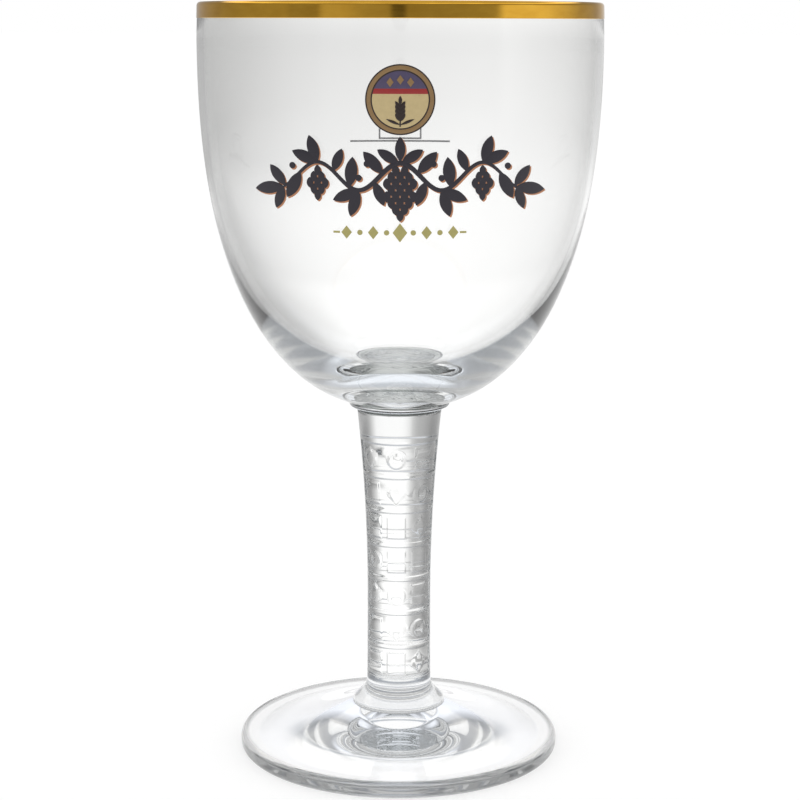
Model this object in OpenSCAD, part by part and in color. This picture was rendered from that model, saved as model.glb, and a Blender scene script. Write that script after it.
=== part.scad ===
// Footed beer chalice in clear glass. The origin is the middle of the base, on the table, with +Z up.
// The glass is made of four fused gathers: bowl, collar, stem and foot. Gold is fired over the lip,
// and each printed colour is a thin fired layer that follows the bowl. The front faces -Y.

/* [Bowl] */
// Widest outer diameter of the bowl
bowl_d = 94; // [84:1:104]
// Height of the bowl from its seat on the collar to the lip
bowl_h = 93.2; // [86:0.2:104]
// Height of the nearly straight wall above the widest ring
mouth_h = 8.1; // [6:0.1:11]
// How far the wall draws in from the widest ring to the lip, on each side
mouth_draw = 0.25; // [0:0.05:1]
// Thickness of the wall at the lip and the widest ring
wall_t = 1.6; // [1.2:0.1:2.4]
// Thickness of the glass in the middle of the bowl, over the seat
base_t = 6.8; // [5:0.1:12]
// Diameter of the flat spot that the plunger leaves on the inner bottom
floor_d = 20.6; // [14:0.2:26]
// Fullness of the outer curve, where 2 is an ellipse and more is squarer
outer_fullness = 2.36; // [2.1:0.01:2.6]
// Fullness of the inner curve
inner_fullness = 2.55; // [2.4:0.01:2.8]

/* [Collar] */
// Widest diameter of the collar
collar_d = 24.2; // [22:0.1:30]
// Thickness of the collar
collar_t = 1.4; // [1.2:0.1:2.4]
// Diameter of the lower edge of the collar
collar_edge_d = 21.9; // [21:0.1:21.9]
// Diameter of the short neck under the collar
neck_d = 19.2; // [17:0.1:19.8]
// Height of the short neck under the collar
neck_h = 0.8; // [0.4:0.1:1.6]

/* [Stem] */
// Length of the stem between the neck and the foot
stem_l = 66.6; // [56:0.2:80]
// Diameter of the stem at its top
stem_top_d = 20.2; // [19.9:0.1:22]
// Diameter of the stem at its waist
stem_waist_d = 15.3; // [13.5:0.1:17]
// Diameter of the stem where it stands on the foot
stem_foot_d = 15.5; // [14:0.1:17]
// Height of the waist over the foot's joint
stem_waist_h = 21; // [15:0.5:28]
// Plain length of stem over the relief
stem_plain_h = 6.5; // [5:0.1:9]
// Depth of the relief, whose top lies flush with the stem
relief_t = 0.3; // [0.1:0.05:0.4]
// Height of one figure of the relief
figure_h = 5.2; // [4:0.1:5.6]
// Width of one figure of the relief
figure_w = 4.4; // [3.4:0.1:4.8]
// Height of the ring between two rows of figures
ring_h = 1.1; // [0.6:0.1:1.6]
// Width of the plain strip up each side, where the halves of the mould meet
strip_w = 4.6; // [3:0.2:6]

/* [Foot] */
// Widest diameter of the foot
foot_d = 77.4; // [68:0.2:90]
// Thickness of the foot at its edge
foot_edge_h = 4.1; // [3.6:0.1:5.4]
// Height of the joint with the stem over the table
boss_h = 17; // [15:0.2:22]
// Height over the table at which the disc meets the flared boss
boss_foot_h = 10.8; // [8.4:0.1:11.8]
// Diameter of the flared boss at its foot
boss_d = 22.4; // [20:0.2:27]
// Radius of the lower edge of the foot
edge_low_r = 1.6; // [1:0.1:1.9]
// Radius of the upper edge of the foot
edge_top_r = 1.6; // [1:0.1:1.6]
// Width of the flat ring that the foot rests on
rest_w = 3; // [2:0.2:5]
// Height of the shallow hollow under the whole foot
hollow_h = 2.3; // [1:0.1:3]
// Height of the small dome in the middle of the hollow
dome_h = 2; // [1:0.1:2.6]
// Diameter of the small dome
dome_d = 15; // [12:0.5:18]
// Curve of the disc from its edge up to the boss, where 1 is a straight cone
disc_curve = 1.8; // [1.2:0.1:2.4]

/* [Gilding] */
// Height of the gold band on the outside
gold_h = 3.6; // [2:0.1:5.5]
// Height of the gold band on the inside
gold_in_h = 1.5; // [1:0.1:3]
// Thickness of the gold
gold_t = 0.1; // [0.06:0.02:0.2]

/* [Front print] */
// Thickness of one printed layer
print_t = 0.1; // [0.06:0.02:0.2]
// Diameter of the medallion
medallion_d = 14.8; // [12:0.2:16]
// Distance from the lip down to the middle of the medallion
medallion_drop = 20.4; // [17:0.2:21]
// Width of the dark line round the medallion
keyline_w = 0.3; // [0.2:0.05:0.5]
// Width of the medallion's gold-brown frame
frame_w = 0.85; // [0.5:0.05:1.1]
// Height of the red band across the medallion
band_h = 1.1; // [0.8:0.1:1.6]
// Height of the red band's lower edge over the middle of the medallion
band_rise = 1.2; // [0.8:0.1:1.8]
// Width of the leafy frieze
frieze_w = 58; // [52:0.5:62]
// Height of the leafy frieze
frieze_h = 15.4; // [13:0.2:15.8]
// Distance from the lip down to the middle of the frieze
frieze_drop = 36.6; // [36.4:0.1:38]
// Width of the frieze's winding stalk
stalk_w = 1.1; // [0.8:0.05:1.4]
// How far the copper shows beside the frieze, sideways and downwards
copper_shift = 0.3; // [0.2:0.05:0.4]
// Width of the small row of lozenges under the frieze
row_w = 28.6; // [24:0.2:34]
// Height of the small row of lozenges
row_h = 4.2; // [3.4:0.1:4.6]
// Distance from the lip down to the middle of the small row
row_drop = 48.7; // [48.6:0.1:52]

/* [Back mark] */
// Width of the level line on the back
mark_w = 26; // [20:0.5:30]
// Thickness of the lines of the back mark
mark_line = 0.45; // [0.3:0.05:0.6]
// Height of the small frame that stands over the level line
mark_frame_h = 4.4; // [3.6:0.1:5]
// Width of the small frame
mark_frame_w = 11.2; // [8:0.2:14]
// Distance from the lip down to the level line
mark_drop = 34; // [30:0.2:38]

/* [Hidden] */
$fn = 180;

// Heights over the table, from the foot up
stem_z = boss_h;
neck_z = stem_z + stem_l;
collar_z = neck_z + neck_h;
seat_z = collar_z + collar_t;
lip_z = seat_z + bowl_h;
belly_z = lip_z - mouth_h;
floor_z = seat_z + base_t;

// Radii, with the bowl's seat a little inside the edge of the collar
seat_inset = 0.15;
bowl_r = bowl_d / 2;
seat_r = collar_d / 2 - seat_inset;
lip_r = wall_t / 2;
mouth_r = bowl_r - mouth_draw - lip_r;
floor_r = floor_d / 2;
foot_r = foot_d / 2;

// Steps of the curves
bowl_steps = 40;
arc_steps = 12;
stem_steps = 24;
foot_steps = 14;
wave_steps = 48;
// Overrun of every cut and of the blocks that prints are cut from
cut = 2;

// Points of a quarter superellipse from its widest ring down to a given end radius and height
function cup_depth(r, end_r, depth, fullness) = depth / pow(1 - pow(end_r / r, fullness), 1 / fullness);
function cup_curve(r, top_z, end_r, end_z, fullness, grow = 0) =
    let (b = cup_depth(r, end_r, top_z - end_z, fullness),
         last = acos(pow(end_r / r, fullness / 2)))
    [for (i = [0:bowl_steps])
        let (t = last * i / bowl_steps)
        [(r + grow) * pow(cos(t), 2 / fullness), top_z - (b + grow) * pow(sin(t), 2 / fullness)]];
// Points of an arc round a centre
function arc(centre, r, from, to, steps = arc_steps) =
    [for (i = [0:steps]) let (a = from + (to - from) * i / steps) centre + r * [cos(a), sin(a)]];
function reversed(points) = [for (i = [len(points) - 1:-1:0]) points[i]];
function smooth(u) = u * u * (3 - 2 * u);

function bowl_outside(grow = 0) = cup_curve(bowl_r, belly_z, seat_r, seat_z, outer_fullness, grow);
function bowl_inside() = cup_curve(bowl_r - wall_t, belly_z, floor_r, floor_z, inner_fullness);
function lip_curve(grow = 0) = arc([mouth_r, lip_z - lip_r], lip_r + grow, 0, 180);

// Radius of the stem at a height over the foot's joint: it swells slowly up and down from the waist
function stem_r(h) = h > stem_waist_h
    ? (stem_waist_d + (stem_top_d - stem_waist_d) * pow((h - stem_waist_h) / (stem_l - stem_waist_h), 2)) / 2
    : (stem_waist_d + (stem_foot_d - stem_waist_d) * pow((stem_waist_h - h) / stem_waist_h, 2)) / 2;

// Relief of the stem: rows of figures between plain rings, in columns all round
relief_columns = 8;
// Columns that have figures, counted from the front; the one between them lies under the plain strips
figure_columns = [0, 1, 3];
relief_rows = 7;
relief_low = ring_h;
relief_high = stem_l - stem_plain_h;
row_pitch = (relief_high - relief_low) / relief_rows;
relief_turn = -5;
stem_edge_r = 0.4;

module bowl() {
    outside = bowl_outside();
    color([0.93, 0.95, 0.96, 0.35])
    rotate_extrude()
        polygon(concat([[0, seat_z]], reversed(outside), lip_curve(), bowl_inside(), [[0, floor_z]]));
}

// Greatest share of the collar's thickness that its rounded edge takes
collar_round_share = 0.9;
module collar() {
    edge_r = min((collar_d - collar_edge_d) / 2, collar_t * collar_round_share);
    edge_z = collar_z + edge_r;
    color([0.88, 0.9, 0.91, 0.5])
    rotate_extrude()
        polygon(concat([[0, neck_z], [neck_d / 2, neck_z], [neck_d / 2, collar_z]],
            arc([collar_d / 2 - edge_r, edge_z], edge_r, -90, 0, arc_steps / 2),
            [[collar_d / 2, seat_z], [0, seat_z]]));
}

// Outline of the stem, whose field between the plain ends is sunk by a given depth
module stem_body(sink) {
    heights = [for (i = [0:stem_steps]) relief_low + (relief_high - relief_low) * i / stem_steps];
    top_heights = [for (i = [1:4]) relief_high + (stem_plain_h - stem_edge_r) * i / 4];
    ledges = sink > 0;
    rotate_extrude()
        polygon(concat([[0, 0], [stem_r(0), 0]],
            ledges ? [[stem_r(relief_low), relief_low]] : [],
            [for (h = heights) [stem_r(h) - sink, h]],
            ledges ? [[stem_r(relief_high), relief_high]] : [],
            [for (h = top_heights) [stem_r(h), h]],
            arc([stem_r(stem_l) - stem_edge_r, stem_l - stem_edge_r], stem_edge_r, 15, 90, 4),
            [[0, stem_l]]));
}

// A flat figure of the relief, by its kind: plate, lozenge, ring or pair of bars
module figure(kind) {
    if (kind == 0) square([figure_w, figure_h], center = true);
    if (kind == 1)
        polygon([[figure_w / 2, 0], [0, figure_h / 2], [-figure_w / 2, 0], [0, -figure_h / 2]]);
    if (kind == 2) difference() {
        circle(d = figure_w);
        circle(d = figure_w / 2);
    }
    if (kind == 3) for (side = [-1, 1])
        translate([0, side * figure_h / 3]) square([figure_w, figure_h / 3], center = true);
}

// The part of the full stem that lies in a block, which stands up as relief
module raised() {
    intersection() {
        stem_body(0);
        children();
    }
}

module stem() {
    color([0.9, 0.92, 0.92, 0.5])
    translate([0, 0, stem_z])
    union() {
        stem_body(relief_t);
        for (row = [1:relief_rows - 1])
            raised() translate([0, 0, relief_low + row * row_pitch - ring_h / 2])
                cylinder(h = ring_h, r = stem_top_d);
        raised() translate([-stem_top_d, -strip_w / 2, relief_low])
            cube([2 * stem_top_d, strip_w, relief_high - relief_low]);
        for (row = [0:relief_rows - 1], column = figure_columns)
            raised() rotate([0, 0, relief_turn + column * 360 / relief_columns])
                translate([0, stem_top_d, relief_low + (row + 0.5) * row_pitch])
                rotate([90, 0, 0])
                linear_extrude(height = 2 * stem_top_d) figure((row + column) % 4);
    }
}

// Height of the hollow under the foot at a radius
function under_z(r, rest_r) = hollow_h * (1 - pow(r / rest_r, 2));

module foot() {
    low_r = foot_r - edge_low_r;
    top_r = foot_r - edge_top_r;
    top_z = foot_edge_h - edge_top_r;
    rest_r = low_r - rest_w;
    disc = [for (i = [0:foot_steps])
        let (u = i / foot_steps)
        [top_r + (boss_d / 2 - top_r) * u, foot_edge_h + (boss_foot_h - foot_edge_h) * pow(u, disc_curve)]];
    flare = [for (i = [0:foot_steps])
        let (u = i / foot_steps)
        [stem_r(0) + (boss_d / 2 - stem_r(0)) * smooth(pow(u, 1.35)), boss_h + (boss_foot_h - boss_h) * u]];
    dome_r = dome_d / 2;
    dome = [for (i = [0:arc_steps - 1]) let (r = dome_r * i / arc_steps)
        [r, under_z(r, rest_r) + dome_h * (1 - pow(r / dome_r, 2))]];
    under = [for (i = [0:foot_steps]) let (r = dome_r + (rest_r - dome_r) * i / foot_steps)
        [r, under_z(r, rest_r)]];
    color([0.9, 0.92, 0.93, 0.5])
    rotate_extrude()
        polygon(concat(dome, under,
            arc([low_r, edge_low_r], edge_low_r, -90, 0),
            arc([top_r, top_z], edge_top_r, 0, 90),
            disc, reversed(flare), [[0, boss_h]]));
}

module rim_gilding() {
    out_z = lip_z - gold_h;
    in_z = lip_z - gold_in_h;
    out_draw = mouth_draw * (out_z - belly_z) / (mouth_h - lip_r);
    in_draw = mouth_draw * (in_z - belly_z) / (mouth_h - lip_r);
    outer_r = bowl_r - out_draw;
    inner_r = bowl_r - wall_t - in_draw;
    color([0.78, 0.56, 0.2])
    rotate_extrude()
        polygon(concat([[outer_r, out_z], [outer_r + gold_t, out_z]], lip_curve(gold_t),
            [[inner_r - gold_t, in_z], [inner_r, in_z]], reversed(lip_curve())));
}

// Skin over the outside of the bowl, between two heights off the glass
module skin(layer) {
    rotate_extrude()
        polygon(concat(bowl_outside(layer * print_t), reversed(bowl_outside((layer + 1) * print_t))));
}

// A flat drawing laid on the front of the bowl as a layer, with its middle a given drop under the lip
module front_print(drop, layer = 0) {
    intersection() {
        skin(layer);
        translate([0, 0, lip_z - drop])
            rotate([90, 0, 0])
            linear_extrude(height = bowl_r + cut) children();
    }
}

// The same on the back of the bowl
module back_print(drop) {
    rotate([0, 0, 180]) front_print(drop) children();
}

medallion_r = medallion_d / 2;
field_r = medallion_r - 2 * keyline_w - frame_w;

module ring_2d(r, w) {
    difference() {
        circle(r = r);
        circle(r = r - w);
    }
}

// Part of the medallion's field between two heights over its middle
module field_2d(low, high) {
    intersection() {
        circle(r = field_r);
        translate([-medallion_r, low]) square([medallion_d, high - low]);
    }
}

module lozenge_2d(w, h) {
    polygon([[w / 2, 0], [0, h / 2], [-w / 2, 0], [0, -h / 2]]);
}

// A leaf or grain between two arcs, from the origin along +X
module leaf_2d(l, w) {
    r = (l * l + w * w) / (4 * w);
    intersection() {
        translate([l / 2, r - w / 2]) circle(r = r);
        translate([l / 2, w / 2 - r]) circle(r = r);
    }
}

module medallion_keyline() {
    color([0.16, 0.1, 0.07])
    front_print(medallion_drop) {
        ring_2d(medallion_r, keyline_w);
        ring_2d(field_r + keyline_w, keyline_w);
    }
}

module medallion_border() {
    color([0.55, 0.44, 0.28])
    front_print(medallion_drop) ring_2d(medallion_r - keyline_w, frame_w);
}

module medallion_upper_field() {
    color([0.3, 0.28, 0.4])
    front_print(medallion_drop) field_2d(band_rise + band_h, medallion_r);
}

module medallion_band() {
    color([0.6, 0.13, 0.12])
    front_print(medallion_drop) field_2d(band_rise, band_rise + band_h);
}

module medallion_lower_field() {
    color([0.77, 0.67, 0.47])
    front_print(medallion_drop) field_2d(-medallion_r, band_rise);
}

// Three lozenges side by side on the upper field, the middle one a little higher
module medallion_pips() {
    pip_w = field_r / 4;
    pip_z = (band_rise + band_h + field_r) / 2;
    color([0.66, 0.53, 0.33])
    front_print(medallion_drop, 1)
        for (i = [-1:1])
            translate([i * 1.45 * pip_w, pip_z - abs(i) * pip_w / 3]) lozenge_2d(pip_w, 1.35 * pip_w);
}

// A barley ear: a stalk with two long leaves, pairs of grains and one grain on top
module medallion_sprig() {
    ear_h = 0.9 * (field_r + band_rise);
    grain_l = ear_h / 3.4;
    grain_w = ear_h / 8.2;
    pairs = 4;
    color([0.2, 0.11, 0.05])
    front_print(medallion_drop, 1)
        translate([0, ear_h * 0.05 - field_r]) {
            translate([-keyline_w / 2, 0]) square([keyline_w, ear_h - grain_l / 2]);
            for (side = [-1, 1]) {
                translate([0, ear_h * 0.06]) rotate(90 + side * 68) leaf_2d(ear_h * 0.5, grain_w * 0.75);
                for (i = [0:pairs - 1])
                    translate([0, ear_h * (0.18 + 0.135 * i)])
                        rotate(90 + side * 34) leaf_2d(grain_l, grain_w);
            }
            translate([0, ear_h - grain_l]) rotate(90) leaf_2d(grain_l, grain_w);
        }
}

// The frieze: a winding stalk to each side of the middle, with leaves, berries and hanging hop cones
vine_step = frieze_w * 0.152;
vine_waves = 2.85;
wave_h = frieze_h * 0.19;
frieze_leaf_l = frieze_h * 0.42;
frieze_leaf_w = frieze_h * 0.175;
berry_d = frieze_h * 0.09;
// Each leaf's place along the stalk in half waves, its angle, and its share of the full leaf
leaf_shares = [[0.42, 48, 0.95], [0.62, -112, 0.85], [1, -72, 0.92], [1, -22, 0.92], [1.22, 96, 1],
               [1.62, 112, 0.8], [2, 72, 0.92], [2, 22, 0.92], [2.42, -62, 1], [2.85, -8, 1],
               [2.8, 52, 0.85], [2.85, -70, 0.8]];
// Each berry's place along the stalk in half waves, and its height over it as a share of the frieze
berry_shares = [[1, 0.17], [0.8, 0.33], [2.62, 0.2]];
// Scales in each row of a hop cone, from the top down
large_cone_rows = [2, 3, 4, 3, 4, 3, 2, 1];
small_cone_rows = [1, 2, 3, 2, 1];

function vine_at(u) = [u * vine_step, wave_h * cos(180 * u)];
function vine_side(u) =
    let (along = [vine_step, -PI * wave_h * sin(180 * u)]) [-along.y, along.x] / norm(along);

module stalk_2d() {
    shares = [for (i = [0:wave_steps]) vine_waves * i / wave_steps];
    half = [for (u = shares) stalk_w / 2 * (1 - 0.45 * u / vine_waves)];
    polygon(concat([for (i = [0:wave_steps]) vine_at(shares[i]) + half[i] * vine_side(shares[i])],
        [for (i = [wave_steps:-1:0]) vine_at(shares[i]) - half[i] * vine_side(shares[i])]));
}

// A hop cone: rows of hanging scales that interlock like diamonds
module hop_cone_2d(rows, scale_l, scale_w) {
    for (j = [0:len(rows) - 1], i = [0:rows[j] - 1])
        translate([(i - (rows[j] - 1) / 2) * scale_w * 1.18, -j * scale_l * 0.58])
            rotate(-90) leaf_2d(scale_l, scale_w);
}

module frieze_half_2d() {
    stalk_2d();
    for (leaf = leaf_shares)
        translate(vine_at(leaf[0])) rotate(leaf[1]) leaf_2d(frieze_leaf_l * leaf[2], frieze_leaf_w * leaf[2]);
    for (berry = berry_shares)
        translate(vine_at(berry[0]) + [0, frieze_h * berry[1]]) circle(d = berry_d);
    translate(vine_at(2) - [0, frieze_h * 0.04])
        hop_cone_2d(small_cone_rows, frieze_h * 0.15, frieze_h * 0.092);
}

module frieze_2d() {
    for (side = [0, 1]) mirror([side, 0]) frieze_half_2d();
    translate([0, wave_h - frieze_h * 0.03]) hop_cone_2d(large_cone_rows, frieze_h * 0.155, frieze_h * 0.104);
    for (side = [0, 1]) mirror([side, 0])
        translate([stalk_w / 3, wave_h]) rotate(32) leaf_2d(frieze_leaf_l * 0.82, frieze_leaf_w * 0.82);
    translate([0, wave_h + stalk_w / 4]) rotate(90) leaf_2d(frieze_leaf_l * 0.82, frieze_leaf_w * 0.82);
}

module frieze_copper() {
    color([0.62, 0.38, 0.22])
    front_print(frieze_drop) translate([copper_shift, -copper_shift]) frieze_2d();
}

module frieze_leaves() {
    color([0.22, 0.2, 0.26])
    front_print(frieze_drop, 1) frieze_2d();
}

// A small row: one large lozenge, then dots and smaller lozenges by turns, and a short line at each end
module lower_ornament() {
    places = 4;
    pitch = row_w / (2 * places + 2);
    color([0.6, 0.56, 0.3])
    front_print(row_drop) {
        lozenge_2d(pitch * 1.1, row_h);
        for (i = [1:places], side = [-1, 1])
            translate([side * i * pitch, 0])
                if (i % 2 == 0) lozenge_2d(pitch * 0.8, row_h * 0.7);
                else circle(d = row_h * 0.28);
        for (side = [-1, 1])
            translate([side * (places + 0.75) * pitch, 0]) square([pitch / 2, row_h / 9], center = true);
    }
}

module fill_mark() {
    color([0.5, 0.5, 0.5])
    back_print(mark_drop) {
        square([mark_w, mark_line], center = true);
        translate([0, mark_line + mark_frame_h / 2])
            difference() {
                square([mark_frame_w, mark_frame_h], center = true);
                square([mark_frame_w - 2 * mark_line, mark_frame_h - 2 * mark_line], center = true);
            }
    }
}

bowl();
collar();
stem();
foot();
rim_gilding();
medallion_keyline();
medallion_border();
medallion_upper_field();
medallion_band();
medallion_lower_field();
medallion_pips();
medallion_sprig();
frieze_copper();
frieze_leaves();
lower_ornament();
fill_mark();
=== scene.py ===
"""Looks of a footed beer chalice: clear glass with pressed relief, a fired gold lip and printed enamel.

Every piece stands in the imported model's own frame, in metres, with +Z up and the print facing -Y.
"""

import logging
import math
from collections.abc import Sequence
from dataclasses import dataclass, field
from enum import Enum

import bpy
import numpy as np
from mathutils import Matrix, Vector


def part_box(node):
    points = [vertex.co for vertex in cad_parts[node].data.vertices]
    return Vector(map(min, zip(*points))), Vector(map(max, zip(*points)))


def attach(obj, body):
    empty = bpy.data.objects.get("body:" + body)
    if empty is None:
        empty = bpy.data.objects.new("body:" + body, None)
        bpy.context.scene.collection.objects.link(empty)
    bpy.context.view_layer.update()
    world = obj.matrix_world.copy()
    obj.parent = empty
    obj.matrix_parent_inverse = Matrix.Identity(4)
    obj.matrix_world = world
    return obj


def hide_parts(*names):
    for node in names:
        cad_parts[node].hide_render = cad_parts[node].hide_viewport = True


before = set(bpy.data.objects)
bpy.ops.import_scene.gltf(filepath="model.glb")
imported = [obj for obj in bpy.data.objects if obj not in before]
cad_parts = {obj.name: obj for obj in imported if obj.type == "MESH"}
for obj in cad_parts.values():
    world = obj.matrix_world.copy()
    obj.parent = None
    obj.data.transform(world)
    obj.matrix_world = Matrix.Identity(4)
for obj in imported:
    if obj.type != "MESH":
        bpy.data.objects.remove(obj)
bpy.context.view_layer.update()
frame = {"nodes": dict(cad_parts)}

LOG = logging.getLogger("chalice")
MM = 0.001
WELD = 2e-7
Socket = bpy.types.NodeSocket
Colour = tuple[float, float, float, float]
Levels = tuple[tuple[float, float], ...]
WHITE: Colour = (1.0, 1.0, 1.0, 1.0)


class Slot(Enum):
    """Material slots of the record that the pieces take their finish from."""

    GLASS = "clear_glass"
    GOLD = "fired_gold"
    DARK = "dark_enamel"
    BRONZE = "bronze_enamel"
    SLATE = "slate_enamel"
    RED = "red_enamel"
    SAND = "sand_enamel"
    COPPER = "copper_enamel"
    INK = "ink_enamel"
    KHAKI = "khaki_enamel"
    GREY = "grey_enamel"


class Relief(Enum):
    """Figures pressed into the stem, in the order in which they follow each other."""

    PLATE = 0
    LOZENGE = 1
    RING = 2
    BARS = 3


# Mesh tools


def quads_between(rows: int, columns: int, wrap: bool) -> np.ndarray:
    """Faces of a grid of points, row by row.

    Args:
        rows: points along the first parameter.
        columns: points along the second parameter.
        wrap: whether the last column joins the first again.

    Returns:
        One row of four point numbers for each face.
    """
    across = np.arange(columns if wrap else columns - 1)
    row, col = np.meshgrid(np.arange(rows - 1), across, indexing="ij")
    after = (col + 1) % columns
    here, above = row * columns, (row + 1) * columns
    return np.stack([c.ravel() for c in (here + col, here + after, above + after, above + col)], axis=1)


def welded(points: np.ndarray, faces: np.ndarray) -> tuple[np.ndarray, list[list[int]]]:
    """Merges points that coincide and drops the faces and corners that vanish with them.

    Points coincide where their places, counted in steps of the weld distance, round to the same numbers.

    Args:
        points: one row of x, y, z for each point.
        faces: one row of four point numbers for each face.

    Returns:
        The points that are left, and the faces as lists of three or four numbers.
    """
    keys = np.round(points / WELD).astype(np.int64)
    _, first, inverse = np.unique(keys, axis=0, return_index=True, return_inverse=True)
    faces = inverse.reshape(-1)[faces]
    repeated = faces == np.roll(faces, -1, axis=1)
    whole = ~repeated.any(axis=1)
    once = repeated.sum(axis=1) == 1
    shorter = faces[once][~repeated[once]].reshape(-1, 3)
    return points[first], faces[whole].tolist() + shorter.tolist()


def make_piece(name: str, points: np.ndarray, faces: np.ndarray, crease: float = 40.0) -> bpy.types.Object:
    """Puts a surface into a mesh object with smooth faces and sharp creases.

    Args:
        name: name of the piece.
        points: one row of x, y, z for each point, in metres.
        faces: one row of four point numbers for each face.
        crease: angle in degrees past which an edge stays sharp.

    Returns:
        The new object, linked to the scene.
    """
    kept, corners = welded(points, faces)
    mesh = bpy.data.meshes.new(name)
    mesh.from_pydata(kept, [], corners)
    mesh.update()
    mesh.shade_smooth()
    mesh.set_sharp_from_angle(angle=math.radians(crease))
    piece = bpy.data.objects.new(name, mesh)
    bpy.context.scene.collection.objects.link(piece)
    return piece


def revolved(profile: np.ndarray, around: int) -> tuple[np.ndarray, np.ndarray]:
    """Carries a profile of radius and height round the axis.

    At each angle a point is the radius times the angle's cosine and sine, at the profile's height.

    Args:
        profile: one row of radius and height for each point, from the axis round and back to it.
        around: number of steps round the axis.

    Returns:
        Points and faces, with the faces outwards when the profile runs up its outer side.
    """
    angle = np.linspace(0.0, 2.0 * math.pi, around, endpoint=False)
    radius, height = profile[:, :1], profile[:, 1:]
    points = np.stack(
        [radius * np.cos(angle), radius * np.sin(angle), height + 0.0 * angle], axis=-1
    ).reshape(-1, 3)
    return points, quads_between(len(profile), around, wrap=True)


def arc(centre: tuple[float, float], radius: float, start: float, end: float, steps: int) -> np.ndarray:
    """Points of an arc: its centre plus the radius times each angle's cosine and sine.

    Args:
        centre: radius and height of the arc's centre.
        radius: the arc's radius.
        start: first angle in degrees.
        end: last angle in degrees.
        steps: number of steps between them.

    Returns:
        One row of radius and height for each point.
    """
    turn = np.radians(np.linspace(start, end, steps + 1))
    return np.stack([centre[0] + radius * np.cos(turn), centre[1] + radius * np.sin(turn)], axis=1)


def smooth(u: np.ndarray) -> np.ndarray:
    """Eases from 0 to 1 with level ends: three times the square less twice the cube."""
    u = np.clip(u, 0.0, 1.0)
    return u * u * (3.0 - 2.0 * u)


def polyline(points: list[tuple[float, float]], step: float) -> np.ndarray:
    """Fills straight stretches between corner points with evenly spaced points.

    Args:
        points: the corners, as radius and height.
        step: greatest distance between two points.

    Returns:
        The corners with the points between them.
    """
    corners = np.array(points, float)
    parts = []
    for here, there in zip(corners[:-1], corners[1:]):
        count = max(1, int(math.ceil(np.linalg.norm(there - here) / step)))
        parts.append(here + (there - here) * np.linspace(0.0, 1.0, count, endpoint=False)[:, None])
    return np.concatenate(parts + [corners[-1:]])


# Finishes


@dataclass(frozen=True)
class Pattern:
    """A cloudy pattern in object space: its fineness, its detail and its squeeze along the axes."""

    scale: float
    detail: float
    stretch: tuple[float, float, float] = (1.0, 1.0, 1.0)


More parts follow.
